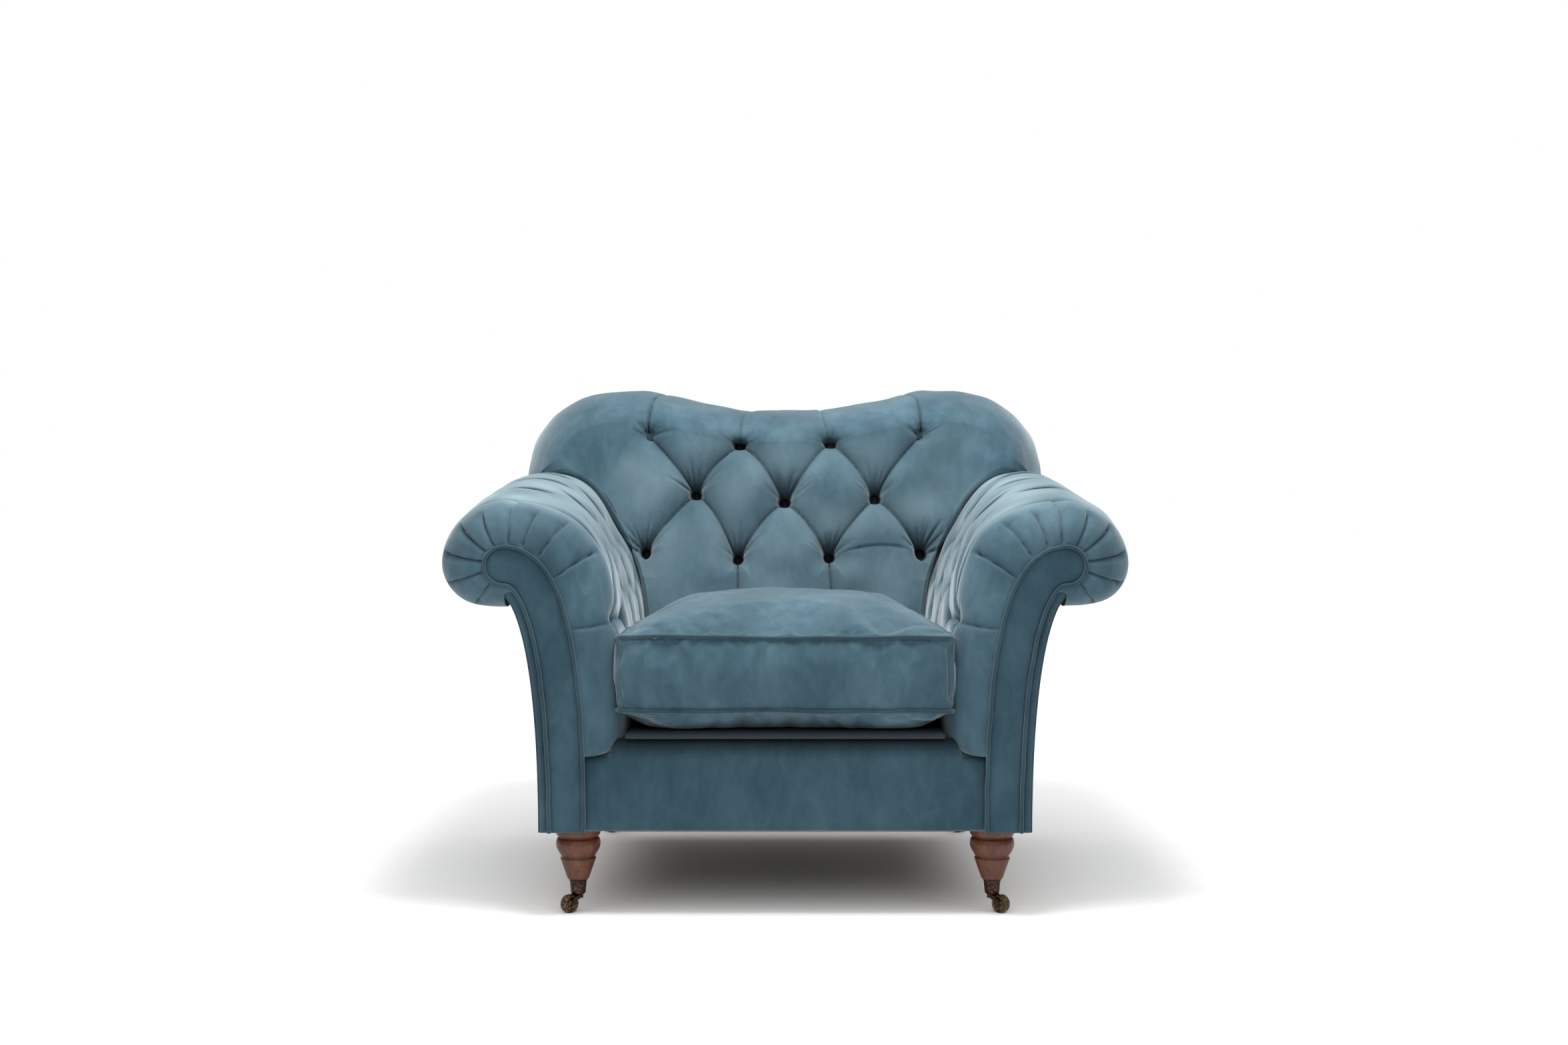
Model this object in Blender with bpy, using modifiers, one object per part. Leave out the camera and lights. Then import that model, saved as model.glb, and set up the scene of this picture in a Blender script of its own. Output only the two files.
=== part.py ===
"""Deep-buttoned scroll-arm armchair with a loose seat cushion, turned front legs and castors.

+X is the right side seen from the front, the chair faces -Y, and +Z is up. The origin is on the
floor under the middle of the chair. All sizes are in metres.
"""

import math

import bmesh
import bpy
from mathutils import Matrix, Vector

# Driving sizes
OVERALL_WIDTH = 1.150  # over the two arm rolls
OVERALL_DEPTH = 0.910  # cushion nose to the back's crest
OVERALL_HEIGHT = 0.930  # floor to the back's two humps
LEG_HEIGHT = 0.144  # floor to the underside of the seat frame
DECK_HEIGHT = 0.312  # floor to the sprung deck under the loose cushion
ARM_HEIGHT = 0.695  # floor to the top of the arm roll at its front end
BACK_ABOVE_ARMS = 0.185  # the back's humps above the arm roll, where the roll meets the back
CUSHION_THICKNESS = 0.200
BACK_RAKE = math.atan(0.16)
BACK_FRONT_SLOPE = 0.22  # the padded face leans a little more than the frame does

# Clearances
GAP = 0.0003  # between pieces that touch on the real chair
SOFT_GAP = 0.002  # between two padded pieces

# Seat frame of hardwood rails
RAIL_HEIGHT = 0.110
RAIL_THICKNESS = 0.025
SIDE_RAIL_THICKNESS = 0.028
BLOCK_LEG = 0.075
BLOCK_HEIGHT = 0.045

# Arms: the front facing is a strip whose centre line curves outwards into the roll
FACING_HALF_FOOT = 0.0275
FACING_HALF_END = 0.031
FACING_THICKNESS = 0.010
ARM_POST_THICKNESS = 0.028
ARM_FLARE = 0.105  # how far the roll's centre stands outside the foot of the facing
ARM_SETBACK = 0.008  # the facing stands this far behind the cushion's nose
ARM_RAIL_SIZE = 0.036
ROLL_PAD = 0.0715
ROLL_UNDER_PAD = 0.041
ROLL_TUCK_PAD = 0.030
ROLL_TUCK_T = 0.80  # where the roll's underside tucks in, along the facing's centre line
INNER_PAD_FRONT = ((0.15, 0.0700), (0.50, 0.0790), (0.75, 0.0935), (1.00, ROLL_PAD))
INNER_PAD_REAR = ((0.15, 0.0700), (0.50, 0.0735), (0.75, 0.0605), (1.00, ROLL_PAD))
OUTSIDE_ARM_STAND_OFF = 0.0125
OUTSIDE_PANEL_THICKNESS = 0.006
OUTSIDE_ARM_TOP_T = 0.795
SECTION_STEPS = 10
ROLL_STEPS = 12

# Front border: the padded cover of the front rail
BORDER_THICKNESS = 0.015
BORDER_SHOULDER = 0.126  # its height beside the arms
DECK_THICKNESS = 0.012

# Back
BACK_FRAME_THICKNESS = 0.032
BACK_AT_SEAT = 0.600  # cushion nose to the back's padded face, at the cushion's top seam
CUSHION_SEAM_RISE = 0.160  # deck to the cushion's top seam
BACK_SIDE_INSET = 0.036  # the back's side, inside the arm roll's outermost line
HUMP_INSET = 0.193  # the back's side to the start of its rounded shoulder
SHOULDER_DROP = 0.170
HUMP_HALF_FLAT = 0.028
DIP_HALF_FLAT = 0.090
DIP_DEPTH = 0.0415
POST_WIDTH = 0.060
POST_CLEARANCE = 0.005  # inside the outside arm's panel
POST_TOP_LEAN = 0.012
CREST_RAIL_INSET = 0.030
CREST_RAIL_BOTTOM = 0.155  # below the humps
LOWER_BACK_RAIL = (0.250, 0.300)  # above the seat frame's underside

# Buttons on the back: rows from the top, in a diamond pattern
BUTTON_PITCH = 0.184
BUTTON_ROW_PITCH = 0.117
BUTTON_TOP_ROW = 0.110  # below the humps
BUTTON_ROWS = (4, 3, 4)
BUTTON_RADIUS = 0.011
BUTTON_THICKNESS = 0.008
POCKET_DEPTH = 0.036
POCKET_MOUTH = 0.018
POCKET_FLOOR = 0.013

# Legs
LEG_INSET = 0.0135  # leg axis inside the facing's centre line
FRONT_LEG_SETBACK = 0.062  # leg axis behind the facing
REAR_LEG_TOP_INSET = 0.045  # leg axis in front of the back frame's rear, at the leg's top
REAR_LEG_SPLAY = 0.045
REAR_LEG_TOP_SIZE = 0.046
REAR_LEG_FOOT_SIZE = 0.027
LEG_FOOT_Z = 0.0545  # the timber's lower shoulder, at the castor cup's rim
# The turned leg as (share of its height above the shoulder, radius): collar, ball, bead and cone
LEG_PROFILE = (
    (1.000, 0.0385),
    (0.919, 0.0385),
    (0.863, 0.0370),
    (0.830, 0.0345),
    (0.822, 0.0335),
    (0.811, 0.0335),
    (0.804, 0.0346),
    (0.768, 0.0369),
    (0.689, 0.0381),
    (0.605, 0.0366),
    (0.527, 0.0328),
    (0.471, 0.0298),
    (0.454, 0.0288),
    (0.426, 0.0288),
    (0.411, 0.0301),
    (0.387, 0.0300),
    (0.053, 0.0194),
    (0.022, 0.0182),
    (0.000, 0.0158),
)
SPIGOT_RADIUS = 0.0088
SPIGOT_FOOT_Z = 0.036

# Castors: cup, horn, wheel and riveted axle
WHEEL_RADIUS = 0.0152
WHEEL_WIDTH = 0.014
WHEEL_TRAIL = 0.0192  # swivel axis to wheel axle
CUP_FOOT_Z = 0.0298
CUP_FOOT_RADIUS = 0.0122
CUP_RIM_RADIUS = 0.0146
CUP_FLOOR = 0.0040
PINTLE_RADIUS = 0.0030
PINTLE_CLEARANCE = 0.0004
HORN_ARM_THICKNESS = 0.0022
HORN_SIDE_CLEARANCE = 0.0006
AXLE_RADIUS = 0.0015
AXLE_HOLE_RADIUS = 0.0019
CASTOR_STEPS = 16
WHEEL_STEPS = 20
# The way that each castor trails, as a turn about +Z from +X
CASTOR_TRAIL_DEGREES = {
    "front_left": -134.0,
    "front_right": -46.0,
    "rear_left": 130.0,
    "rear_right": 50.0,
}

SIDES = {"left": -1, "right": 1}

# Places worked out from the sizes above
HALF_WIDTH = OVERALL_WIDTH / 2
NOSE_Y = -OVERALL_DEPTH / 2
REAR_Y = OVERALL_DEPTH / 2
FACING_Y = NOSE_Y + ARM_SETBACK
POST_Y = FACING_Y + FACING_THICKNESS + GAP
POST_REAR_Y = POST_Y + ARM_POST_THICKNESS
RISE_START_Y = POST_REAR_Y + GAP
BORDER_Y = POST_Y + GAP
FRONT_RAIL_Y = BORDER_Y + BORDER_THICKNESS + GAP
FRONT_RAIL_REAR_Y = FRONT_RAIL_Y + RAIL_THICKNESS
ARM_RISE = OVERALL_HEIGHT - BACK_ABOVE_ARMS - ARM_HEIGHT
ROLL_X = HALF_WIDTH - ROLL_PAD - FACING_HALF_END
FOOT_X = ROLL_X - ARM_FLARE
ROLL_Z = ARM_HEIGHT - ROLL_PAD - FACING_HALF_END
FRONT_RAIL_HALF = FOOT_X - FACING_HALF_FOOT - 0.003
RAIL_TOP = LEG_HEIGHT + RAIL_HEIGHT
BORDER_TOP = LEG_HEIGHT + BORDER_SHOULDER
PAD_FOOT_Z = BORDER_TOP + SOFT_GAP
SEAM_Z = DECK_HEIGHT + CUSHION_SEAM_RISE
FRAME_DEPTH = OUTSIDE_PANEL_THICKNESS + GAP
PAD_DEPTH = FRAME_DEPTH + BACK_FRAME_THICKNESS + GAP
BACK_HALF = HALF_WIDTH - BACK_SIDE_INSET
HUMP_X = BACK_HALF - HUMP_INSET
SHOULDER_Z = OVERALL_HEIGHT - SHOULDER_DROP
CREST_RAIL_Z = OVERALL_HEIGHT - CREST_RAIL_BOTTOM
LEG_X = FOOT_X - LEG_INSET
FRONT_LEG_Y = FACING_Y + FRONT_LEG_SETBACK
AXLE_Z = WHEEL_RADIUS * math.cos(math.pi / WHEEL_STEPS)  # the wheel stands on a flat of its tread


def back_face(z):
    """Depth of the back's padded face at a height."""
    return NOSE_Y + BACK_AT_SEAT + BACK_FRONT_SLOPE * (z - SEAM_Z)


def raked_plane(z, depth):
    """Depth, at a height, of the plane that lies this far inside the outside back's rear face."""
    drop = (OVERALL_HEIGHT - OUTSIDE_PANEL_THICKNESS - z) * math.tan(BACK_RAKE)
    return REAR_Y - drop - depth / math.cos(BACK_RAKE)


BACK_FOOT_Y = raked_plane(LEG_HEIGHT, PAD_DEPTH)
REAR_LEG_Y = raked_plane(LEG_HEIGHT, 0) - REAR_LEG_TOP_INSET
RISE_END_Y = back_face(DECK_HEIGHT)


# Materials


def material(name, colour, roughness, metallic=0.0):
    made = bpy.data.materials.new(name)
    made.use_nodes = True
    shader = made.node_tree.nodes["Principled BSDF"]
    shader.inputs["Base Color"].default_value = (*colour, 1.0)
    shader.inputs["Roughness"].default_value = roughness
    shader.inputs["Metallic"].default_value = metallic
    return made


# Collections and general shapes


def fresh_scene():
    for obj in list(bpy.data.objects):
        bpy.data.objects.remove(obj)
    for name in ("armchair", "cutters"):
        bpy.context.scene.collection.children.link(bpy.data.collections.new(name))


def finish(obj, name, finish_material, smooth_degrees=None):
    """Names an object, gives it its material and moves it to the chair's collection."""
    obj.name = name
    obj.data.name = name
    if finish_material is not None:
        obj.data.materials.clear()
        obj.data.materials.append(finish_material)
    for owner in list(obj.users_collection):
        owner.objects.unlink(obj)
    bpy.data.collections["armchair"].objects.link(obj)
    if smooth_degrees is not None:
        obj.data.shade_smooth()
        obj.data.set_sharp_from_angle(angle=math.radians(smooth_degrees))
    return obj


def as_cutter(obj):
    """Moves an object to the cutters, which are no part of the chair."""
    for owner in list(obj.users_collection):
        owner.objects.unlink(obj)
    bpy.data.collections["cutters"].objects.link(obj)
    obj.hide_render = True
    obj.display_type = "WIRE"
    return obj


def mesh_object(name, bm, finish_material, smooth_degrees=None):
    mesh = bpy.data.meshes.new(name)
    bm.to_mesh(mesh)
    bm.free()
    obj = bpy.data.objects.new(name, mesh)
    bpy.context.scene.collection.objects.link(obj)
    return finish(obj, name, finish_material, smooth_degrees)


def box(name, low, high, finish_material, bevel=0.0):
    centre = (Vector(low) + Vector(high)) / 2
    bpy.ops.mesh.primitive_cube_add(size=1, location=centre)
    obj = bpy.context.object
    obj.scale = Vector(high) - Vector(low)
    bpy.ops.object.transform_apply(location=False, rotation=False, scale=True)
    if bevel:
        edge = obj.modifiers.new("rounded edges", "BEVEL")
        edge.width = bevel
        edge.segments = 2
    return finish(obj, name, finish_material)


def plate(name, outline, y, thickness, finish_material):
    """An upright board: an outline of (x, z) points, with its front face at y."""
    obj = flat_curve(outline, thickness)
    obj.rotation_euler.x = math.pi / 2
    obj.location.y = y + thickness / 2
    return finish(obj, name, finish_material)


def raked_plate(name, outline, depth, thickness, finish_material):
    """A board of the raked back: its rear face lies depth inside the outside back's rear face."""
    slope = math.cos(BACK_RAKE)
    obj = flat_curve([(x, (z - LEG_HEIGHT) / slope) for x, z in outline], thickness)
    obj.rotation_euler.x = math.pi / 2 - BACK_RAKE
    obj.location = (0, raked_plane(LEG_HEIGHT, depth + thickness / 2), LEG_HEIGHT)
    return finish(obj, name, finish_material)


def flat_curve(outline, thickness):
    curve = bpy.data.curves.new("outline", "CURVE")
    curve.dimensions = "2D"
    curve.fill_mode = "BOTH"
    curve.extrude = thickness / 2
    spline = curve.splines.new("POLY")
    spline.points.add(len(outline) - 1)
    for point, (u, v) in zip(spline.points, outline):
        point.co = (u, v, 0, 1)
    spline.use_cyclic_u = True
    obj = bpy.data.objects.new("outline", curve)
    bpy.context.scene.collection.objects.link(obj)
    return obj


def loft(name, rings, finish_material, smooth_degrees=None):
    """A closed solid through rings of equally many points, from the front ring to the rear one."""
    bm = bmesh.new()
    rows = [[bm.verts.new(point) for point in ring] for ring in rings]
    count = len(rows[0])
    for near, far in zip(rows, rows[1:]):
        for i in range(count):
            j = (i + 1) % count
            bm.faces.new((near[i], near[j], far[j], far[i]))
    bm.faces.new(rows[0])
    bm.faces.new(rows[-1])
    bmesh.ops.recalc_face_normals(bm, faces=bm.faces)
    return mesh_object(name, bm, finish_material, smooth_degrees)


def turned(name, profile, steps, finish_material, closed_profile=False):
    """A turned piece about its own Z axis, from (radius, z) points down its outer side."""
    bm = bmesh.new()
    verts = [bm.verts.new((radius, 0, z)) for radius, z in profile]
    for a, b in zip(verts, verts[1:]):
        bm.edges.new((a, b))
    if closed_profile:
        bm.edges.new((verts[-1], verts[0]))
    obj = mesh_object(name, bm, finish_material)
    screw = obj.modifiers.new("turning", "SCREW")
    screw.steps = steps
    screw.render_steps = steps
    screw.use_merge_vertices = True
    screw.merge_threshold = 0.00002
    return obj


def as_mesh(obj):
    """The object with its modifiers applied, and its place put in its mesh."""
    bpy.context.view_layer.update()
    graph = bpy.context.evaluated_depsgraph_get()
    mesh = bpy.data.meshes.new_from_object(obj.evaluated_get(graph))
    mesh.transform(obj.matrix_world)
    bm = bmesh.new()
    bm.from_mesh(mesh)
    bmesh.ops.remove_doubles(bm, verts=bm.verts, dist=0.00001)
    bm.to_mesh(mesh)
    bm.free()
    made = bpy.data.objects.new(obj.name, mesh)
    bpy.context.scene.collection.objects.link(made)
    bpy.data.objects.remove(obj)
    return made


def boolean(obj, other, operation):
    step = obj.modifiers.new(operation.lower(), "BOOLEAN")
    step.operation = operation
    step.object = other
    as_cutter(other)


# The arm's section


def centre_line(t, rise):
    """A point of the facing's centre line and its direction; t is 0 at the foot and 1 at the roll."""
    roll_z = ROLL_Z + rise
    start = Vector((FOOT_X, LEG_HEIGHT))
    upright = Vector((FOOT_X, LEG_HEIGHT + 0.593 * (roll_z - LEG_HEIGHT)))
    turn = Vector((FOOT_X + 0.26 * ARM_FLARE, roll_z))
    end = Vector((ROLL_X, roll_z))
    s = 1 - t
    point = s**3 * start + 3 * s * s * t * upright + 3 * s * t * t * turn + t**3 * end
    way = s * s * (upright - start) + 2 * s * t * (turn - upright) + t * t * (end - turn)
    return point, way.normalized()


def strip_edge(t, side, offset, rise):
    """A point off the facing's edge, and the way out. Side is 1 on the seat's side, -1 outside."""
    point, way = centre_line(t, rise)
    out = Vector((-way.y, way.x)) * side
    half = FACING_HALF_FOOT + (FACING_HALF_END - FACING_HALF_FOOT) * t
    return point + out * (half + offset), out


def t_at_height(z, rise):
    """Where on the centre line its seat-side edge reaches a height."""
    low, high = 0.0, 1.0
    for _ in range(30):
        middle = (low + high) / 2
        if strip_edge(middle, 1, 0, rise)[0].y < z:
            low = middle
        else:
            high = middle
    return low


def smooth_table(table, t):
    """Reads a table of (place, value) with smooth steps between its rows."""
    for (t0, v0), (t1, v1) in zip(table, table[1:]):
        if t <= t1:
            share = min(max((t - t0) / (t1 - t0), 0), 1)
            return v0 + (v1 - v0) * share * share * (3 - 2 * share)
    return table[-1][1]


def rise_at(y):
    """How much the roll has risen at a depth, and that as a share of its whole rise."""
    share = min(max((y - RISE_START_Y) / (RISE_END_Y - RISE_START_Y), 0), 1)
    return ARM_RISE * share, share


def inner_places(start):
    """Places up the centre line that the padding, its hollow core and the facing all share."""
    return [start + (1 - start) * i / SECTION_STEPS for i in range(SECTION_STEPS + 1)]


def outer_places():
    """Places from the roll's end back to where its underside tucks in."""
    return [1 + (ROLL_TUCK_T - 1) * i / 3 for i in range(4)]


def panel_places():
    """Places up the outside arm's panel, which the facing and the back post share."""
    return [OUTSIDE_ARM_TOP_T * i / 8 for i in range(9)]


def arm_section(y, bottom_z, inner_offset, extra=0.0):
    """Two lists of (x, z): the padding's surface and the edge of its hollow core, at a depth."""
    rise, share = rise_at(y)
    surface, core = [], []

    def add(edge_point, out, pad):
        core.append(edge_point + out * inner_offset)
        surface.append(edge_point + out * (pad + extra))

    for t in inner_places(t_at_height(bottom_z, rise)):
        front, rear = smooth_table(INNER_PAD_FRONT, t), smooth_table(INNER_PAD_REAR, t)
        add(*strip_edge(t, 1, 0, rise), front + (rear - front) * share)
    centre, _ = centre_line(1, rise)
    for i in range(1, ROLL_STEPS):
        angle = math.pi / 2 - math.pi * i / ROLL_STEPS
        out = Vector((math.cos(angle), math.sin(angle)))
        under = max(-math.sin(angle), 0) ** 2
        pad = ROLL_PAD + (ROLL_UNDER_PAD - ROLL_PAD) * under
        add(centre + out * FACING_HALF_END, out, pad)
    for i, t in enumerate(outer_places()):
        add(*strip_edge(t, -1, 0, rise), ROLL_UNDER_PAD + (ROLL_TUCK_PAD - ROLL_UNDER_PAD) * i / 3)
    return surface, core


def facing_outline(inset):
    """The facing's outline, drawn in by an inset all round, on the +X side."""
    start = t_at_height(PAD_FOOT_Z, 0)
    inner = [strip_edge(t, 1, -inset, 0)[0] for t in (0, start / 2, *inner_places(start))]
    centre, _ = centre_line(1, 0)
    angles = [math.pi / 2 - math.pi * i / ROLL_STEPS for i in range(1, ROLL_STEPS)]
    cap = [centre + Vector((math.cos(a), math.sin(a))) * (FACING_HALF_END - inset) for a in angles]
    lower = panel_places()[::-1]
    outer = [strip_edge(t, -1, -inset, 0)[0] for t in (*outer_places(), *lower)]
    return inner + cap + outer


def crest_z(x, inset=0.0):
    """Height of the back's top edge: a dip in the middle, two humps and rounded shoulders."""
    x = abs(x)
    top = OVERALL_HEIGHT - inset
    ramp_end = HUMP_X - 2 * HUMP_HALF_FLAT
    if x <= DIP_HALF_FLAT:
        return top - DIP_DEPTH
    if x < ramp_end:
        share = (x - DIP_HALF_FLAT) / (ramp_end - DIP_HALF_FLAT)
        return top - DIP_DEPTH * (1 + math.cos(math.pi * share)) / 2
    if x <= HUMP_X:
        return top
    across = min((x - HUMP_X) / (BACK_HALF - inset - HUMP_X), 1)
    return SHOULDER_Z + (top - SHOULDER_Z) * math.sqrt(1 - across * across)


def crest_outline(inset):
    """Points of the back's top edge from its right side to the middle."""
    radius_x = BACK_HALF - inset - HUMP_X
    radius_z = OVERALL_HEIGHT - inset - SHOULDER_Z
    angles = [math.pi / 2 * i / 8 for i in range(9)]
    shoulder = [(HUMP_X + radius_x * math.cos(a), SHOULDER_Z + radius_z * math.sin(a)) for a in angles]
    ramp_end = HUMP_X - 2 * HUMP_HALF_FLAT
    steps = [ramp_end + (DIP_HALF_FLAT - ramp_end) * i / 6 for i in range(7)]
    return shoulder + [(x, crest_z(x, inset)) for x in steps]


def mirrored(half_outline):
    """A closed outline from its right half, listed from the middle of the bottom upwards."""
    left = [(-x, z) for x, z in reversed(half_outline) if abs(x) > 1e-9]
    return [(x, z) for x, z in half_outline] + left


# Frame


def post_edge(low, high):
    """Outer edge of the back post, which is sawn to the outside arm's curve, as (x, z) upwards."""
    inside = OUTSIDE_ARM_STAND_OFF - POST_CLEARANCE
    points = [strip_edge(t, -1, inside, ARM_RISE)[0] for t in panel_places()[:-1]]
    curved = [(p.x, p.y) for p in points if low < p.y < high]
    return [(points[0].x, low)] + curved + [(curved[-1][0] + POST_TOP_LEAN, high)]


def between_posts(name, low, high, wood):
    """A rail of the back frame, from post to post."""
    half = post_edge(LEG_HEIGHT, CREST_RAIL_Z)[0][0] - POST_WIDTH - GAP
    outline = mirrored([(half, low), (half, high)])
    raked_plate(name, outline, FRAME_DEPTH, BACK_FRAME_THICKNESS, wood)


def seat_frame(wood):
    top = RAIL_TOP
    half = FRONT_RAIL_HALF
    low = LEG_HEIGHT + GAP
    box("front_rail", (-half, FRONT_RAIL_Y, low), (half, FRONT_RAIL_REAR_Y, top), wood, 0.002)
    rear_clear = BACK_FRAME_THICKNESS * math.sin(BACK_RAKE) + GAP
    between_posts("rear_rail", LEG_HEIGHT + rear_clear, top, wood)
    rail_half = SIDE_RAIL_THICKNESS / 2
    for side, sign in SIDES.items():
        xs = sorted((sign * (FOOT_X - rail_half), sign * (FOOT_X + rail_half)))
        box(
            f"side_rail_{side}",
            (xs[0], POST_REAR_Y + GAP, low),
            (xs[1], BACK_FOOT_Y - GAP, top),
            wood,
            0.002,
        )
        inner = sign * (FOOT_X - rail_half - GAP)
        for end, corner_y, way in (
            ("front", FRONT_RAIL_REAR_Y + GAP, 1),
            ("rear", BACK_FOOT_Y - GAP, -1),
        ):
            corner_block(f"corner_block_{end}_{side}", inner, corner_y, -sign, way, wood)


def corner_block(name, x, y, way_x, way_y, wood):
    """A triangular glue block that ties two rails and takes the leg's bolt."""
    low = LEG_HEIGHT + 2 * GAP
    plan = [(x, y), (x + way_x * BLOCK_LEG, y), (x, y + way_y * BLOCK_LEG)]
    rings = [[(px, py, z) for px, py in plan] for z in (low, low + BLOCK_HEIGHT)]
    loft(name, rings, wood)


def arm_frame(wood):
    outline = facing_outline(0.001)
    reach = ARM_RAIL_SIZE / 2
    for side, sign in SIDES.items():
        shape = [(sign * p.x, p.y) for p in outline]
        plate(f"arm_post_{side}", shape, POST_Y, ARM_POST_THICKNESS, wood)
        rings = []
        for y in (POST_REAR_Y + GAP, RISE_END_Y, None):
            z = ROLL_Z + rise_at(REAR_Y if y is None else y)[0]
            corners = [(-reach, -reach), (reach, -reach), (reach, reach), (-reach, reach)]
            rings.append(
                [
                    (
                        sign * (ROLL_X + dx),
                        raked_plane(z + dz, PAD_DEPTH) - GAP if y is None else y,
                        z + dz,
                    )
                    for dx, dz in corners
                ]
            )
        loft(f"arm_rail_{side}", rings, wood)


def back_frame(wood):
    edge = post_edge(LEG_HEIGHT + BACK_FRAME_THICKNESS * math.sin(BACK_RAKE) + GAP, CREST_RAIL_Z - GAP)
    for side, sign in SIDES.items():
        outer = [(sign * x, z) for x, z in edge]
        inner = [(sign * (x - POST_WIDTH), z) for x, z in reversed(edge)]
        outline = outer + inner
        raked_plate(f"back_post_{side}", outline, FRAME_DEPTH, BACK_FRAME_THICKNESS, wood)
    between_posts("back_lower_rail", *(LEG_HEIGHT + z for z in LOWER_BACK_RAIL), wood)
    top = [(x, z) for x, z in crest_outline(CREST_RAIL_INSET) if z > CREST_RAIL_Z]
    crest = mirrored([(top[0][0], CREST_RAIL_Z)] + top)
    raked_plate("crest_rail", crest, FRAME_DEPTH, BACK_FRAME_THICKNESS, wood)


# Springs, deck and dust cover


def seat_springs(steel):
    """Five zigzag springs with two tie wires, joined as they are clipped on the real frame."""
    wire = 0.0019
    z = RAIL_TOP + 0.008
    front, rear = FRONT_RAIL_Y + 0.006, BACK_FOOT_Y - 0.006
    bends = 9
    swing = 0.024
    springs, ties = [], []
    for row in range(5):
        x0 = (row - 2) * (FRONT_RAIL_HALF - 0.075) / 2
        points = []
        for i in range(bends * 4 + 1):
            y = front + (rear - front) * i / (bends * 4)
            across = math.sin(math.pi * (i + 0.5) / 4)
            points.append((x0 + swing * math.copysign(abs(across) ** 0.4, across), y, z))
        springs.append(wire_curve(points, wire))
    for y in (front + (rear - front) / 3, front + (rear - front) * 2 / 3):
        reach = FRONT_RAIL_HALF - 0.040
        ties.append(wire_curve([(-reach, y, z), (reach, y, z)], wire * 0.7))
    first, *others = [as_mesh(piece) for piece in springs[:1] + ties + springs[1:]]
    for other in others:
        boolean(first, other, "UNION")
    finish(first, "seat_springs", steel, 40)


def wire_curve(points, radius):
    curve = bpy.data.curves.new("wire", "CURVE")
    curve.dimensions = "3D"
    curve.bevel_depth = radius
    curve.bevel_resolution = 1
    curve.use_fill_caps = True
    spline = curve.splines.new("POLY")
    spline.points.add(len(points) - 1)
    for point, place in zip(spline.points, points):
        point.co = (*place, 1)
    obj = bpy.data.objects.new("wire", curve)
    bpy.context.scene.collection.objects.link(obj)
    return obj


def seat_face_x(z, y):
    """Half the clear width between the arms at a height and depth."""
    rise, share = rise_at(y)
    t = t_at_height(z, rise)
    front, rear = smooth_table(INNER_PAD_FRONT, t), smooth_table(INNER_PAD_REAR, t)
    return strip_edge(t, 1, front + (rear - front) * share, rise)[0].x


def deck_and_covers(canvas, cloth):
    half = seat_face_x(BORDER_TOP + SOFT_GAP, FACING_Y) - SOFT_GAP
    box(
        "seat_platform",
        (-half, BORDER_Y, DECK_HEIGHT - DECK_THICKNESS),
        (half, back_face(DECK_HEIGHT) - SOFT_GAP, DECK_HEIGHT),
        canvas,
        0.003,
    )
    under = LEG_X - REAR_LEG_TOP_SIZE - 0.003
    box(
        "dust_cover",
        (-under, FRONT_RAIL_Y, LEG_HEIGHT - 0.003),
        (under, BACK_FOOT_Y - GAP, LEG_HEIGHT - GAP),
        cloth,
    )


# Padded pieces


def frame_space(name, outline):
    """A cutter for the back frame's own space, between the padding and the outside back."""
    beyond = 0.005
    deep = BACK_FRAME_THICKNESS + GAP + beyond
    return as_mesh(raked_plate(name, outline, FRAME_DEPTH - beyond, deep, None))


def arm_pads(velvet):
    reach = max(x for x, _ in post_edge(LEG_HEIGHT, CREST_RAIL_Z)) + GAP
    space = mirrored([(reach, LEG_HEIGHT), (reach, OVERALL_HEIGHT)])
    stations = [FACING_Y, RISE_START_Y, (RISE_START_Y + RISE_END_Y) / 2, RISE_END_Y, REAR_Y]
    for side, sign in SIDES.items():
        rings = []
        for y in stations:
            surface, hollow = arm_section(y, PAD_FOOT_Z, GAP)
            ring = []
            for point in surface + hollow[::-1]:
                place = raked_plane(point.y, FRAME_DEPTH) if y == REAR_Y else y
                ring.append((sign * point.x, place, point.y))
            rings.append(ring)
        pad = loft(f"arm_pad_{side}", rings, velvet, 40)
        boolean(pad, frame_space(f"frame_space_{side}", space), "DIFFERENCE")


def outside_arms(velvet):
    """Curved panels, each with a thicker rim in front that covers the arm post's edge."""
    near = OUTSIDE_ARM_STAND_OFF
    far = near + OUTSIDE_PANEL_THICKNESS
    rim = ((FACING_Y, GAP), (RISE_START_Y, GAP))
    panel = ((RISE_START_Y, near), (RISE_END_Y, near), (REAR_Y, near))
    for side, sign in SIDES.items():
        rings = []
        for y, inside in rim + panel:
            rise = rise_at(y)[0]
            outer = [strip_edge(t, -1, far, rise)[0] for t in panel_places()]
            inner = [strip_edge(t, -1, inside, rise)[0] for t in panel_places()]
            ring = []
            for point in outer + inner[::-1]:
                place = raked_plane(point.y, FRAME_DEPTH) if y == REAR_Y else y
                ring.append((sign * point.x, place, point.y))
            rings.append(ring)
        loft(f"outside_arm_{side}", rings, velvet, 40)


def facings(velvet):
    for side, sign in SIDES.items():
        shape = [(sign * p.x, p.y) for p in facing_outline(0)]
        plate(f"arm_facing_{side}", shape, FACING_Y, FACING_THICKNESS, velvet)


def front_border(velvet):
    half = FRONT_RAIL_HALF
    shoulder = seat_face_x(BORDER_TOP + SOFT_GAP, FACING_Y) - SOFT_GAP
    top = DECK_HEIGHT - DECK_THICKNESS - GAP
    outline = mirrored([(half, LEG_HEIGHT), (half, BORDER_TOP), (shoulder, BORDER_TOP), (shoulder, top)])
    plate("front_border", outline, BORDER_Y, BORDER_THICKNESS, velvet)


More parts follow.
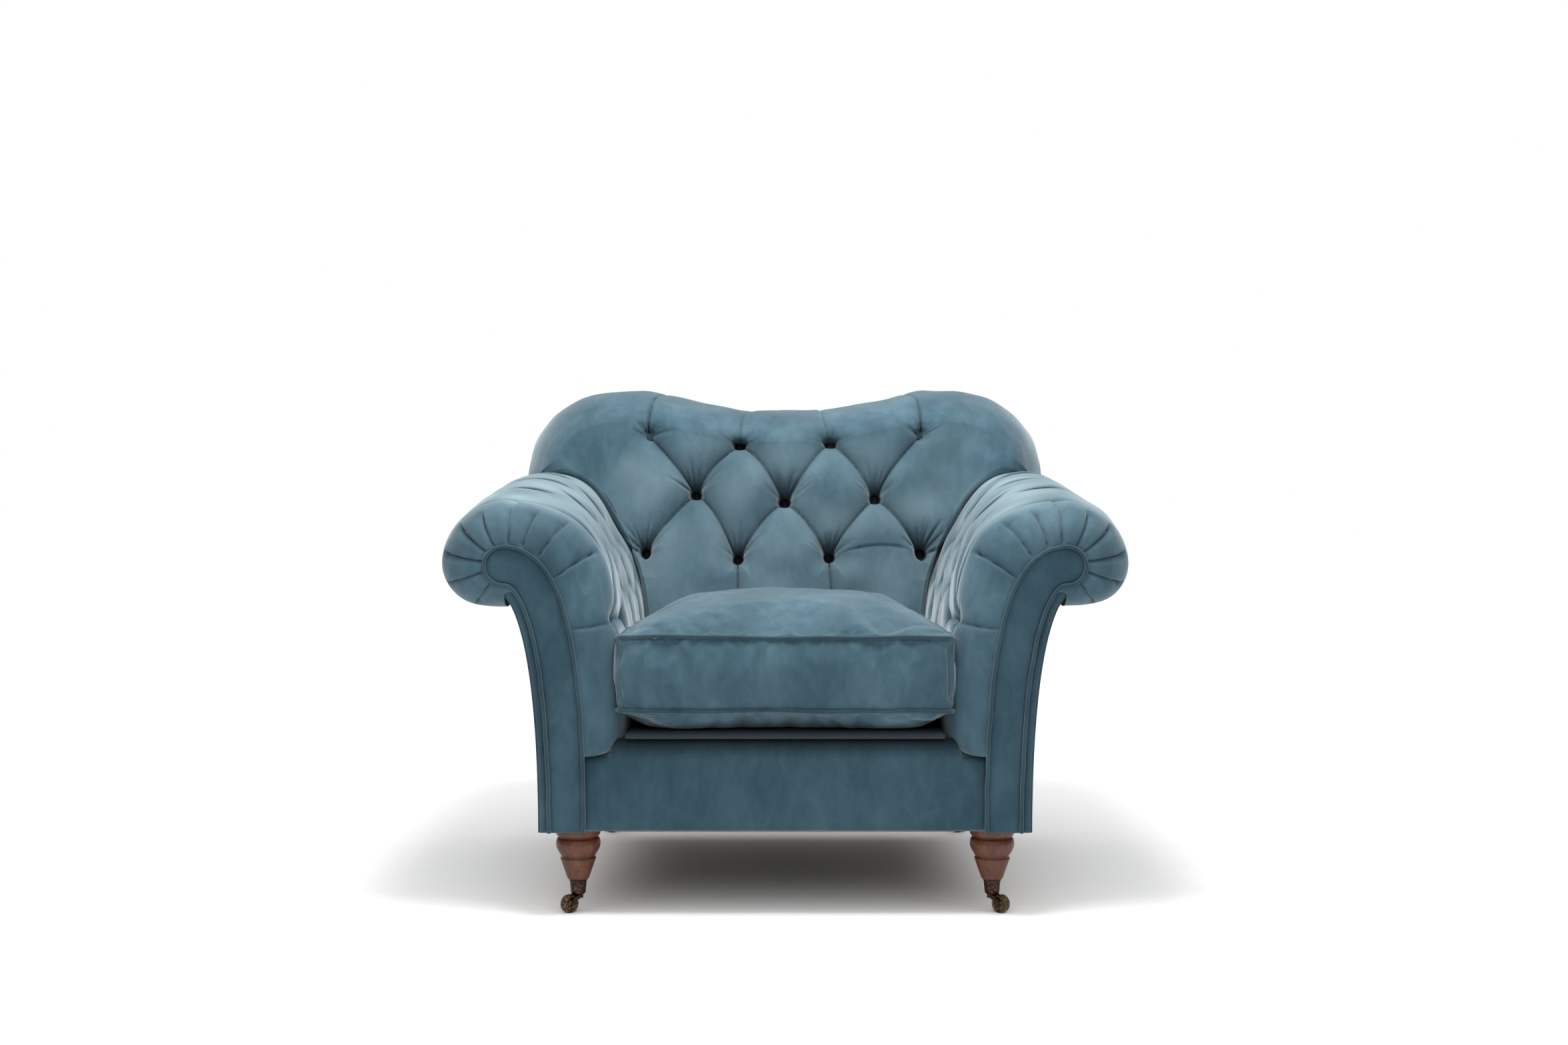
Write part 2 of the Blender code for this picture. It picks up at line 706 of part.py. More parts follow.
def back_outline(bottom):
    """Right half of the back pad's outline: between the arms, over their rolls and up to the crest."""
    surface, _ = arm_section(REAR_Y, bottom, 0, SOFT_GAP)
    over_roll = []
    for before, point in zip(surface, surface[1:]):
        if point.x >= BACK_HALF:
            share = (BACK_HALF - before.x) / (point.x - before.x)
            over_roll += [tuple(before), tuple(before.lerp(point, share))]
            break
        over_roll.append(tuple(before))
    return over_roll + crest_outline(0)


def button_places():
    """(x, z) of each button on the padded back."""
    places = []
    for row, count in enumerate(BUTTON_ROWS):
        z = OVERALL_HEIGHT - BUTTON_TOP_ROW - row * BUTTON_ROW_PITCH
        for i in range(count):
            x = (i - (count - 1) / 2) * BUTTON_PITCH
            places.append((x, z + 0.15 * x * x))
    return places


def button_frame(x, z, depth):
    """A frame on the back's padded face whose +Z points out of it, set in by a depth."""
    lean = math.atan(BACK_FRONT_SLOPE)
    out = Vector((0, -math.cos(lean), math.sin(lean)))
    place = Vector((x, back_face(z), z)) - out * depth
    return Matrix.Translation(place) @ Matrix.Rotation(math.pi / 2 - lean, 4, "X")


def back_pad(velvet):
    outline = mirrored(back_outline(DECK_HEIGHT + 0.003))
    front = [(x, back_face(z), z) for x, z in outline]
    rear = [(x, raked_plane(z, FRAME_DEPTH), z) for x, z in outline]
    pad = loft("back_pad", [front, rear], velvet)
    cutters = bmesh.new()
    for x, z in button_places():
        bmesh.ops.create_cone(
            cutters,
            cap_ends=True,
            segments=12,
            radius1=POCKET_FLOOR,
            radius2=POCKET_MOUTH + (POCKET_MOUTH - POCKET_FLOOR) * 0.1,
            depth=POCKET_DEPTH * 1.1,
            matrix=button_frame(x, z, POCKET_DEPTH * 0.45),
        )
    boolean(pad, mesh_object("button_pockets", cutters, None), "DIFFERENCE")
    top = crest_outline(CREST_RAIL_INSET - GAP)
    space = mirrored([(top[0][0], LEG_HEIGHT)] + top)
    boolean(pad, frame_space("frame_space_back", space), "DIFFERENCE")


def back_buttons(velvet):
    places = button_places()
    seat = POCKET_DEPTH - BUTTON_THICKNESS / 2 - 0.0005
    for number, (x, z) in enumerate(places, start=1):
        bm = bmesh.new()
        bmesh.ops.create_uvsphere(bm, u_segments=10, v_segments=4, radius=BUTTON_RADIUS)
        flat = Matrix.Diagonal((1, 1, BUTTON_THICKNESS / 2 / BUTTON_RADIUS, 1))
        bmesh.ops.transform(bm, matrix=flat, verts=bm.verts)
        button = mesh_object(f"back_button_{number:02d}", bm, velvet, 60)
        button.matrix_world = button_frame(x, z, seat)


def outside_back(velvet):
    """The panel that closes the chair's rear, over the ends of both arm rolls."""
    far = OUTSIDE_ARM_STAND_OFF + OUTSIDE_PANEL_THICKNESS
    side = [strip_edge(t, -1, far, ARM_RISE)[0] for t in panel_places()]
    side[0].y = LEG_HEIGHT + OUTSIDE_PANEL_THICKNESS * math.sin(BACK_RAKE)
    surface, _ = arm_section(REAR_Y, PAD_FOOT_Z, 0)
    roll = []
    for point in reversed(surface):
        if roll and point.x < BACK_HALF <= roll[-1].x:
            break
        roll.append(point)
    half = [tuple(p) for p in side + roll] + crest_outline(OUTSIDE_PANEL_THICKNESS)
    raked_plate("outside_back", mirrored(half), 0, OUTSIDE_PANEL_THICKNESS, velvet)


def seat_cushion(velvet):
    low = DECK_HEIGHT + SOFT_GAP
    half = seat_face_x(low + 0.03, FACING_Y) - SOFT_GAP
    rear = back_face(low) - SOFT_GAP
    box(
        "seat_cushion",
        (-half, NOSE_Y, low),
        (half, rear + BACK_FRONT_SLOPE * 0.02, low + CUSHION_THICKNESS),
        velvet,
        0.028,
    )


# Legs and castors


def front_leg_profile():
    """(radius, z) down the turned leg and its castor spigot."""
    body = LEG_HEIGHT - GAP - LEG_FOOT_Z
    shaped = [(radius, LEG_FOOT_Z + share * body) for share, radius in LEG_PROFILE]
    spigot = [(SPIGOT_RADIUS + 0.0016, LEG_FOOT_Z), (SPIGOT_RADIUS, SPIGOT_FOOT_Z)]
    return [(0.0, LEG_HEIGHT - GAP)] + shaped + spigot + [(0.0, SPIGOT_FOOT_Z)]


def legs(wood):
    for side, sign in SIDES.items():
        leg = turned(f"front_leg_{side}", front_leg_profile(), 20, wood)
        leg.location = (sign * LEG_X, FRONT_LEG_Y, 0)
        rear_leg(f"rear_leg_{side}", sign * LEG_X, wood)


def square_ring(x, y, z, size):
    half = size / 2
    return [(x + dx * half, y + dy * half, z) for dx, dy in ((-1, -1), (1, -1), (1, 1), (-1, 1))]


def rear_leg(name, x, wood):
    """A square leg that sweeps backwards, with a round spigot for its castor."""
    foot_y = REAR_LEG_Y + REAR_LEG_SPLAY
    rings = []
    for share in (0.0, 0.35, 0.7, 1.0):
        sweep = share * share * (1.6 - 0.6 * share)
        size = REAR_LEG_TOP_SIZE + (REAR_LEG_FOOT_SIZE - REAR_LEG_TOP_SIZE) * share
        z = LEG_HEIGHT - GAP - share * (LEG_HEIGHT - GAP - LEG_FOOT_Z)
        rings.append(square_ring(x, REAR_LEG_Y + REAR_LEG_SPLAY * sweep, z, size))
    leg = loft(name, rings, wood)
    bm = bmesh.new()
    length = LEG_FOOT_Z - SPIGOT_FOOT_Z + 0.004
    bmesh.ops.create_cone(
        bm,
        cap_ends=True,
        segments=20,
        radius1=SPIGOT_RADIUS,
        radius2=SPIGOT_RADIUS + 0.0014,
        depth=length,
        matrix=Matrix.Translation((x, foot_y, SPIGOT_FOOT_Z + length / 2)),
    )
    boolean(leg, mesh_object(f"{name}_spigot", bm, None), "UNION")


def castor_cup(name, place, brass):
    rim = LEG_FOOT_Z - GAP
    wall = 0.0016
    outer = [
        (CUP_RIM_RADIUS + 0.0008, rim),
        (CUP_RIM_RADIUS + 0.0008, rim - 0.0022),
        (CUP_RIM_RADIUS - 0.0002, rim - 0.0030),
        (CUP_FOOT_RADIUS, CUP_FOOT_Z + 0.0008),
        (CUP_FOOT_RADIUS - 0.0008, CUP_FOOT_Z),
    ]
    hole = PINTLE_RADIUS + PINTLE_CLEARANCE
    inner = [
        (hole, CUP_FOOT_Z),
        (hole, CUP_FOOT_Z + CUP_FLOOR),
        (CUP_FOOT_RADIUS - wall, CUP_FOOT_Z + CUP_FLOOR),
        (CUP_RIM_RADIUS - wall, rim),
    ]
    cup = turned(name, outer + inner, CASTOR_STEPS, brass, closed_profile=True)
    cup.location = (*place, 0)


def castor_frame(place, degrees):
    """A frame at the swivel axis on the floor, with +X towards the wheel."""
    return Matrix.Translation((*place, 0)) @ Matrix.Rotation(math.radians(degrees), 4, "Z")


def wheel_frame(place, degrees):
    """A frame at the wheel's centre whose +Z is the axle."""
    to_axle = Matrix.Translation((WHEEL_TRAIL, 0, AXLE_Z))
    return castor_frame(place, degrees) @ to_axle @ Matrix.Rotation(math.pi / 2, 4, "X")


def castor_wheel(name, place, degrees, brass):
    half = WHEEL_WIDTH / 2
    dish = 0.0022
    outer = [
        (WHEEL_RADIUS - 0.0008, half),
        (WHEEL_RADIUS, half - 0.0010),
        (WHEEL_RADIUS, 0.0010 - half),
        (WHEEL_RADIUS - 0.0008, -half),
    ]
    lower = [(WHEEL_RADIUS - 0.0035, dish - half), (0.0040, -half), (AXLE_HOLE_RADIUS, -half)]
    upper = [(radius, -z) for radius, z in reversed(lower)]
    wheel = turned(name, outer + lower + upper, WHEEL_STEPS, brass, closed_profile=True)
    half_step = math.pi / WHEEL_STEPS
    wheel.matrix_world = wheel_frame(place, degrees) @ Matrix.Rotation(half_step, 4, "Z")


def castor_axle(name, place, degrees, brass):
    """The rivet through the horn's two arms and the wheel."""
    half = WHEEL_WIDTH / 2 + HORN_SIDE_CLEARANCE + HORN_ARM_THICKNESS + GAP
    head = 0.0011
    upper = [(0.0, half + head), (0.0022, half + head * 0.8), (0.0030, half), (AXLE_RADIUS, half)]
    lower = [(radius, -z) for radius, z in reversed(upper)]
    axle = turned(name, upper + lower, 10, brass)
    axle.matrix_world = wheel_frame(place, degrees)


def castor_horn(name, place, degrees, brass):
    """The swivelling fork: a boss and pintle under the cup, a bridge, and an arm on each side."""
    frame = castor_frame(place, degrees)
    top = CUP_FOOT_Z - GAP
    boss_foot = CUP_FOOT_Z - 0.0037
    profile = [
        (0.0, CUP_FOOT_Z + CUP_FLOOR - GAP),
        (PINTLE_RADIUS, CUP_FOOT_Z + CUP_FLOOR - GAP),
        (PINTLE_RADIUS, top),
        (0.0082, top),
        (0.0086, top - 0.0010),
        (0.0080, boss_foot),
        (0.0032, boss_foot),
        (0.0026, boss_foot - 0.0066),
        (0.0, boss_foot - 0.0066),
    ]
    horn = as_mesh(turned("boss", profile, CASTOR_STEPS, brass))
    reach = WHEEL_WIDTH / 2 + HORN_SIDE_CLEARANCE + HORN_ARM_THICKNESS
    bpy.ops.mesh.primitive_cube_add(size=1, location=(0.0, 0, CUP_FOOT_Z - 0.0043))
    bridge = bpy.context.object
    bridge.scale = (0.0062, 2 * reach, 0.0044)
    bpy.ops.object.transform_apply(location=True, rotation=False, scale=True)
    boolean(horn, bridge, "UNION")
    for sign in (-1, 1):
        arm = as_mesh(horn_arm())
        shift = WHEEL_WIDTH / 2 + HORN_SIDE_CLEARANCE + HORN_ARM_THICKNESS / 2
        arm.data.transform(Matrix.Translation((0, sign * shift, 0)))
        boolean(horn, arm, "UNION")
    bpy.ops.mesh.primitive_cylinder_add(vertices=12, radius=AXLE_HOLE_RADIUS, depth=0.04)
    hole = bpy.context.object
    turn = Matrix.Rotation(math.pi / 2, 4, "X")
    hole.data.transform(Matrix.Translation((WHEEL_TRAIL, 0, AXLE_Z)) @ turn)
    boolean(horn, hole, "DIFFERENCE")
    horn = as_mesh(horn)
    horn.data.transform(frame)
    finish(horn, name, brass, 35)


def horn_arm():
    """One curved arm of the horn, from the bridge down to the axle's eye."""
    start = Vector((-0.0026, CUP_FOOT_Z - 0.0037))
    knee = Vector((WHEEL_TRAIL * 0.78, CUP_FOOT_Z - 0.0022))
    end = Vector((WHEEL_TRAIL, AXLE_Z))
    upper, lower = [], []
    for i in range(5):
        t = i / 4
        s = 1 - t
        point = s * s * start + 2 * s * t * knee + t * t * end
        way = (s * (knee - start) + t * (end - knee)).normalized()
        out = Vector((-way.y, way.x)) * (0.0026 + 0.0016 * t)
        upper.append(point + out)
        lower.append(point - out)
    eye = []
    for i in range(1, 6):
        angle = math.atan2(*(upper[-1] - end).yx) - math.pi * i / 6
        eye.append(end + Vector((math.cos(angle), math.sin(angle))) * 0.0042)
    outline = [tuple(p) for p in upper + eye + lower[::-1]]
    arm = flat_curve(outline, HORN_ARM_THICKNESS)
    arm.rotation_euler.x = math.pi / 2
    return arm


def castors(brass):
    for corner, degrees in CASTOR_TRAIL_DEGREES.items():
        end, side = corner.split("_")
        y = FRONT_LEG_Y if end == "front" else REAR_LEG_Y + REAR_LEG_SPLAY
        place = (SIDES[side] * LEG_X, y)
        castor_cup(f"castor_cup_{corner}", place, brass)
        castor_horn(f"castor_horn_{corner}", place, degrees, brass)
        castor_wheel(f"castor_wheel_{corner}", place, degrees, brass)
        castor_axle(f"castor_axle_{corner}", place, degrees, brass)


def build():
    fresh_scene()
    velvet = material("teal_velvet", (0.075, 0.145, 0.185), 0.75)
    frame_wood = material("frame_hardwood", (0.55, 0.38, 0.22), 0.70)
    leg_wood = material("stained_leg_wood", (0.16, 0.060, 0.028), 0.40)
    brass = material("antique_brass", (0.10, 0.065, 0.045), 0.42, 1.0)
    steel = material("spring_steel", (0.30, 0.30, 0.32), 0.35, 1.0)
    canvas = material("deck_canvas", (0.075, 0.145, 0.185), 0.85)
    cloth = material("black_dust_cloth", (0.02, 0.02, 0.02), 0.90)
    seat_frame(frame_wood)
    arm_frame(frame_wood)
    back_frame(frame_wood)
    seat_springs(steel)
    deck_and_covers(canvas, cloth)
    arm_pads(velvet)
    outside_arms(velvet)
    facings(velvet)
    front_border(velvet)
    back_pad(velvet)
    back_buttons(velvet)
    outside_back(velvet)
    seat_cushion(velvet)
    legs(leg_wood)
    castors(brass)


build()
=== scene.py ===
import math

import bmesh
import bpy
import numpy as np
from mathutils import Matrix, Vector


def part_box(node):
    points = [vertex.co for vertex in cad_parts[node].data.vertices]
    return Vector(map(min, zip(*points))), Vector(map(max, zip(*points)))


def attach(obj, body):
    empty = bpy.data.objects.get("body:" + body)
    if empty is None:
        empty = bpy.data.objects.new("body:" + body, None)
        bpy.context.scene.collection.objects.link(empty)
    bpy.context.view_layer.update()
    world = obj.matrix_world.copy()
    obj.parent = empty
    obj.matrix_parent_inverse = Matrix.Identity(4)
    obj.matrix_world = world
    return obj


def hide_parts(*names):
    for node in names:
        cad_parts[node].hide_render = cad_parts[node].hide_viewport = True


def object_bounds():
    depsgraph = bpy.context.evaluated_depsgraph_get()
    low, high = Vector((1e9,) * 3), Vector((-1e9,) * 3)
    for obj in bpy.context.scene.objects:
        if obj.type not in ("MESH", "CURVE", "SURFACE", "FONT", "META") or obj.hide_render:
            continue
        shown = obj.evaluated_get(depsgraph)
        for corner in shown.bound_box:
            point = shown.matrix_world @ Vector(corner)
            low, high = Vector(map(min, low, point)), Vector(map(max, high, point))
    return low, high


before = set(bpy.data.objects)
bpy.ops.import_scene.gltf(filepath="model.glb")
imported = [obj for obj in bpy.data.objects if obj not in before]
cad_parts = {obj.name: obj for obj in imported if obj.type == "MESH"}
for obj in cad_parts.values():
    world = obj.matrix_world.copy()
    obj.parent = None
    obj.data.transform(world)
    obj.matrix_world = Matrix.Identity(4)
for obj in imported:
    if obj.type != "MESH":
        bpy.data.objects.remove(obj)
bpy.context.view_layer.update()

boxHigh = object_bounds()[1]
bpy.ops.object.select_all(action="DESELECT")
print("frame loaded:", len(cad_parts), "nodes")

sides = {"left": -1, "right": 1}
pipingShade = 0.22  # painted shade: the piping is darkened a little below the cloth beside it
corners = ("front_left", "front_right", "rear_left", "rear_right")


# General tools


def skin(name, points, closed=False, cap=False):  # a sheet of quads through a grid of points
    rows, columns = points.shape[:2]
    index = np.arange(rows * columns).reshape(rows, columns)
    if closed:
        index = np.column_stack([index, index[:, :1]])
    quads = np.stack([index[:-1, :-1], index[:-1, 1:], index[1:, 1:], index[1:, :-1]], -1).reshape(-1, 4)
    faces = quads.tolist()
    if cap:
        faces += [index[0, :columns].tolist()[::-1], index[-1, :columns].tolist()]
    return meshObject(name, points.reshape(-1, 3), faces)


def meshObject(name, points, faces):
    mesh = bpy.data.meshes.new(name)
    mesh.from_pydata(np.asarray(points).tolist(), [], faces)
    piece = bpy.data.objects.new(name, mesh)
    bpy.context.scene.collection.objects.link(piece)
    return piece


def addAttribute(piece, name, values):
    layer = piece.data.attributes.new(name, "FLOAT", "POINT")
    layer.data.foreach_set("value", np.asarray(values, np.float32).ravel())


def meshPlaces(mesh):
    co = np.zeros(len(mesh.vertices) * 3)
    mesh.vertices.foreach_get("co", co)
    return co.reshape(-1, 3)


def evenFold(piece, value):  # how shaded its cloth is, the same all over
    addAttribute(piece, "fold", np.full(len(piece.data.vertices), value))


def tidyMesh(piece, distance=0.00002):  # closes seams and poles, turns faces outwards and shades smooth
    work = bmesh.new()
    work.from_mesh(piece.data)
    bmesh.ops.remove_doubles(work, verts=work.verts, dist=distance)
    bmesh.ops.dissolve_degenerate(work, edges=work.edges, dist=distance)
    bmesh.ops.recalc_face_normals(work, faces=work.faces)
    work.to_mesh(piece.data)
    work.free()
    piece.data.shade_smooth()
    return piece


def gridNormals(points):  # a unit normal at each point of a grid
    along = np.gradient(points, axis=0)
    across = np.gradient(points, axis=1)
    normal = np.cross(along, across)
    return normal / np.maximum(np.linalg.norm(normal, axis=2, keepdims=True), 1e-12)


def slab(name, front, rear):  # a closed piece between two grids of points
    return tidyMesh(skin(name, np.concatenate([front, rear[:, ::-1]], 1), closed=True, cap=True))


def closedBand(name, outside, inside, outsideShare, insideShare):
    # A pad as two skins over one frame: the rows run along it, and each end is closed by a strip of
    # triangles between the two skins.
    ring = np.concatenate([outside, inside], 1)
    rows, count = ring.shape[:2]
    index = np.arange(rows * count).reshape(rows, count)
    right = np.roll(index, -1, axis=1)
    faces = np.stack([index[:-1], right[:-1], right[1:], index[1:]], -1).reshape(-1, 4).tolist()
    for row in (0, rows - 1):
        outer = list(index[row, : outside.shape[1]])
        inner = list(index[row, outside.shape[1] :][::-1])
        innerShare = list(insideShare[::-1])
        i = j = 0
        while i < len(outer) - 1 or j < len(inner) - 1:
            if j == len(inner) - 1 or (i < len(outer) - 1 and outsideShare[i + 1] <= innerShare[j + 1]):
                faces.append([outer[i], outer[i + 1], inner[j]])
                i += 1
            else:
                faces.append([outer[i], inner[j + 1], inner[j]])
                j += 1
    return meshObject(name, ring.reshape(-1, 3), faces)


def joinPieces(name, pieces):
    bpy.ops.object.select_all(action="DESELECT")
    for piece in pieces:
        piece.select_set(True)
    bpy.context.view_layer.objects.active = pieces[0]
    if len(pieces) > 1:
        bpy.ops.object.join()
    joined = bpy.context.object
    joined.name = joined.data.name = name
    bpy.ops.object.select_all(action="DESELECT")
    return joined


def tube(name, points, radius, closed=False, ends=4):  # a round cord through points, with a closed skin
    curve = bpy.data.curves.new(name, "CURVE")
    curve.dimensions = "3D"
    curve.bevel_depth = radius
    curve.bevel_resolution = ends
    curve.use_fill_caps = not closed
    spline = curve.splines.new("POLY")
    spline.points.add(len(points) - 1)
    for knot, place in zip(spline.points, points):
        knot.co = (*[float(value) for value in place], 1)
    spline.use_cyclic_u = closed
    piece = bpy.data.objects.new(name, curve)
    bpy.context.scene.collection.objects.link(piece)
    bpy.ops.object.select_all(action="DESELECT")
    piece.select_set(True)
    bpy.context.view_layer.objects.active = piece
    bpy.ops.object.convert(target="MESH")
    piece = bpy.context.object
    bpy.ops.object.select_all(action="DESELECT")
    piece.data.name = name
    piece.data.shade_smooth()
    return piece


def resample(points, count):  # the same path with evenly spaced points
    points = np.asarray(points, float)
    steps = np.concatenate([[0], np.cumsum(np.linalg.norm(np.diff(points, axis=0), axis=1))])
    wanted = np.linspace(0, steps[-1], count)
    return np.stack([np.interp(wanted, steps, points[:, i]) for i in range(points.shape[1])], -1)


def gapTo(line, places):  # how far each place is from the nearest point of a line, seen from above
    gap = np.full(len(places), 9.0)
    for point in line:
        gap = np.minimum(gap, np.hypot(places[:, 0] - point[0], places[:, 1] - point[1]))
    return gap


def smoothStep(value, start=0.0, end=1.0):
    share = np.clip((np.asarray(value, float) - start) / (end - start), 0, 1)
    return share * share * (3 - 2 * share)


def quarterRound(value):  # rises from 0 to 1 as a quarter circle does
    return np.sqrt(np.clip(1 - (1 - np.clip(value, 0, 1)) ** 2, 0, 1))


def softWaves(x, y, seed, size, count=14):  # a smooth uneven surface between about -1 and 1
    chance = np.random.default_rng(seed)
    total = np.zeros(np.broadcast(x, y).shape)
    for _ in range(count):
        turn = chance.uniform(0, math.tau)
        pitch = chance.uniform(0.6, 1.5) * size
        phase = chance.uniform(0, math.tau)
        total += np.sin(math.tau * (x * math.cos(turn) + y * math.sin(turn)) / pitch + phase)
    return total / math.sqrt(count)


# A crease is a line on the cloth with a depth at each of its points, and the width of the roll beside it; it also
# paints shade along itself.


def creaseField(across, along, creases, blend=5):
    depth = np.zeros(across.shape)
    line = np.zeros(across.shape)
    for crease in creases:
        points = np.asarray(crease["points"], float)
        deep = np.asarray(crease["depth"], float)
        reach = crease["reach"]
        low, high = points.min(0) - reach, points.max(0) + reach
        near = (across > low[0]) & (across < high[0]) & (along > low[1]) & (along < high[1])
        if not near.any():
            continue
        a, b = across[near], along[near]
        distance = np.full(a.shape, 9.0)
        here = np.zeros(a.shape)
        sideOf = np.zeros(a.shape)
        for start, end, deepStart, deepEnd in zip(points, points[1:], deep, deep[1:]):
            way = end - start
            share = np.clip(((a - start[0]) * way[0] + (b - start[1]) * way[1]) / max(way @ way, 1e-12), 0, 1)
            da, db = a - start[0] - share * way[0], b - start[1] - share * way[1]
            gap = np.hypot(da, db)
            closer = gap < distance
            distance = np.where(closer, gap, distance)
            here = np.where(closer, deepStart + (deepEnd - deepStart) * share, here)
            sideOf = np.where(closer, np.sign(da * way[1] - db * way[0]), sideOf)
        if crease.get("hole"):
            well = np.exp(-((distance / crease["hole"]) ** 4))
            depth[near] += here * well
            # painted shade: a pocket's hollow is darkened
            line[near] = np.maximum(line[near], crease.get("dark", 1.0) * well)
            continue
        lip = 1 + crease.get("lip", 0.0) * sideOf  # one side of a fold is steeper than the other
        share = np.clip(distance / (reach * lip / (1 + abs(crease.get("lip", 0.0)))), 0, 1)
        shape = 1 - (1 - (1 - share) ** 2) ** crease.get("sharp", 0.6)
        if crease.get("added"):
            depth[near] += here * shape
        else:
            depth[near] = (depth[near] ** blend + (here * shape) ** blend) ** (1 / blend)
        # painted shade along the crease, darkest where the crease is deepest
        dark = crease.get("dark", 1.0) * np.clip(here / max(deep.max(), 1e-9), 0, 1)
        line[near] = np.maximum(line[near], dark * np.exp(-distance / crease.get("lineWidth", 0.0030)))
    return depth, line


def addCrease(creases, points, depth, reach, **look):
    creases.append(dict(points=points, depth=depth, reach=reach, **look))


def curvedLine(start, end, bend, count=9):  # a quadratic curve through start and end, drawn towards bend
    share = np.linspace(0, 1, count)[:, None]
    start, end, bend = (np.asarray(point, float) for point in (start, end, bend))
    return (1 - share) ** 2 * start + 2 * share * (1 - share) * bend + share**2 * end


# Materials


def linear(colour):  # an sRGB hex value as the linear colour that a shader takes
    parts = [int(colour[i : i + 2], 16) / 255 for i in (1, 3, 5)]
    return (*[p / 12.92 if p <= 0.04045 else ((p + 0.055) / 1.055) ** 2.4 for p in parts], 1.0)


def addNode(tree, kind, settings, links=None):  # a node with its settings, and links into its sockets
    made = tree.nodes.new(kind)
    for key, value in settings.items():
        if isinstance(key, str) and hasattr(made, key):
            setattr(made, key, value)
        else:
            made.inputs[key].default_value = value
    for key, (source, output) in (links or {}).items():
        tree.links.new(source.outputs[output], made.inputs[key])
    return made


def newMaterial(name):
    made = bpy.data.materials.new(name)
    made.use_nodes = True
    tree = made.node_tree
    shader = tree.nodes["Principled BSDF"]
    onPiece = {"Vector": (addNode(tree, "ShaderNodeTexCoord", {}), "Object")}
    return made, tree, shader, onPiece


def setShader(tree, shader, links, values):
    for key, node in links.items():
        tree.links.new(node.outputs[2 if node.bl_idname == "ShaderNodeMix" else 0], shader.inputs[key])
    for key, value in values.items():
        shader.inputs[key].default_value = value


def setRamp(ramp, stops):
    elements = ramp.color_ramp.elements
    while len(elements) < len(stops):
        elements.new(0.5)
    for element, (position, colour) in zip(elements, stops):
        element.position = position
        element.color = linear(colour)


def cottonVelvet(name, dark, mid, light, paintedHighlightColour, paintedShadeColour):
    # Cotton velvet: a cut pile about 1.5 mm deep, so it is matt where it is seen from the front, pale
    # where it is seen along the surface, and mottled where the pile has been stroked different ways.
    # Light is also painted into its colour: a painted highlight where light from above falls, and painted
    # shade in creases, pockets and other places that light hardly reaches.
    made, tree, shader, onPiece = newMaterial(name)
    stroke = addNode(tree, "ShaderNodeMapping", {"Scale": (1.0, 1.0, 0.55)}, onPiece)
    broad = addNode(
        tree, "ShaderNodeTexNoise", {"Scale": 9.0, "Detail": 3.0, "Roughness": 0.55}, {"Vector": (stroke, 0)}
    )
    fine = addNode(
        tree, "ShaderNodeTexNoise", {"Scale": 46.0, "Detail": 4.0, "Roughness": 0.6, "Distortion": 0.6},
        {"Vector": (stroke, 0)},
    )
    both = addNode(tree, "ShaderNodeMix", {0: 0.36}, {2: (broad, 0), 3: (fine, 0)})
    ramp = addNode(tree, "ShaderNodeValToRGB", {}, {0: (both, 0)})
    setRamp(ramp, [(0.36, dark), (0.50, mid), (0.64, light)])
    # painted shade: the fold attribute darkens the colour where shade falls
    fold = addNode(tree, "ShaderNodeAttribute", {"attribute_name": "fold"})
    paintedHighlight = addNode(tree, "ShaderNodeAttribute", {"attribute_name": "paintedHighlight"})  # painted highlight: paler where light from above falls on it
    paler = addNode(
        tree, "ShaderNodeMix", {"data_type": "RGBA", "clamp_factor": True, 7: linear(paintedHighlightColour)},
        {0: (paintedHighlight, "Fac"), 6: (ramp, 0)},
    )
    shade = addNode(
        tree, "ShaderNodeMix", {"data_type": "RGBA", "clamp_factor": True, 7: linear(paintedShadeColour)},
        {0: (fold, "Fac"), 6: (paler, 2)},
    )
    # painted shade also takes the sheen away where the fold attribute is high
    fuzz = addNode(tree, "ShaderNodeMapRange", {"To Min": 0.54, "To Max": 0.0}, {"Value": (fold, "Fac")})
    pile = addNode(tree, "ShaderNodeTexNoise", {"Scale": 620.0, "Detail": 2.0}, onPiece)  # 1.6 mm tufts of pile
    tufts = addNode(tree, "ShaderNodeBump", {"Strength": 0.22, "Distance": 0.0006}, {"Height": (pile, 0)})
    rumple = addNode(tree, "ShaderNodeTexNoise", {"Scale": 60.0, "Detail": 3.0, "Roughness": 0.5}, onPiece)
    hollow = addNode(
        tree, "ShaderNodeBump", {"Strength": 0.25, "Distance": 0.0014},
        {"Height": (rumple, 0), "Normal": (tufts, 0)},
    )
    setShader(
        tree, shader, {"Base Color": shade, "Sheen Weight": fuzz, "Normal": hollow},
        {
            "Roughness": 0.85, "Specular IOR Level": 0.18, "Sheen Roughness": 0.44,
            "Sheen Tint": linear("#DDE8EC"),
        },
    )
    return made


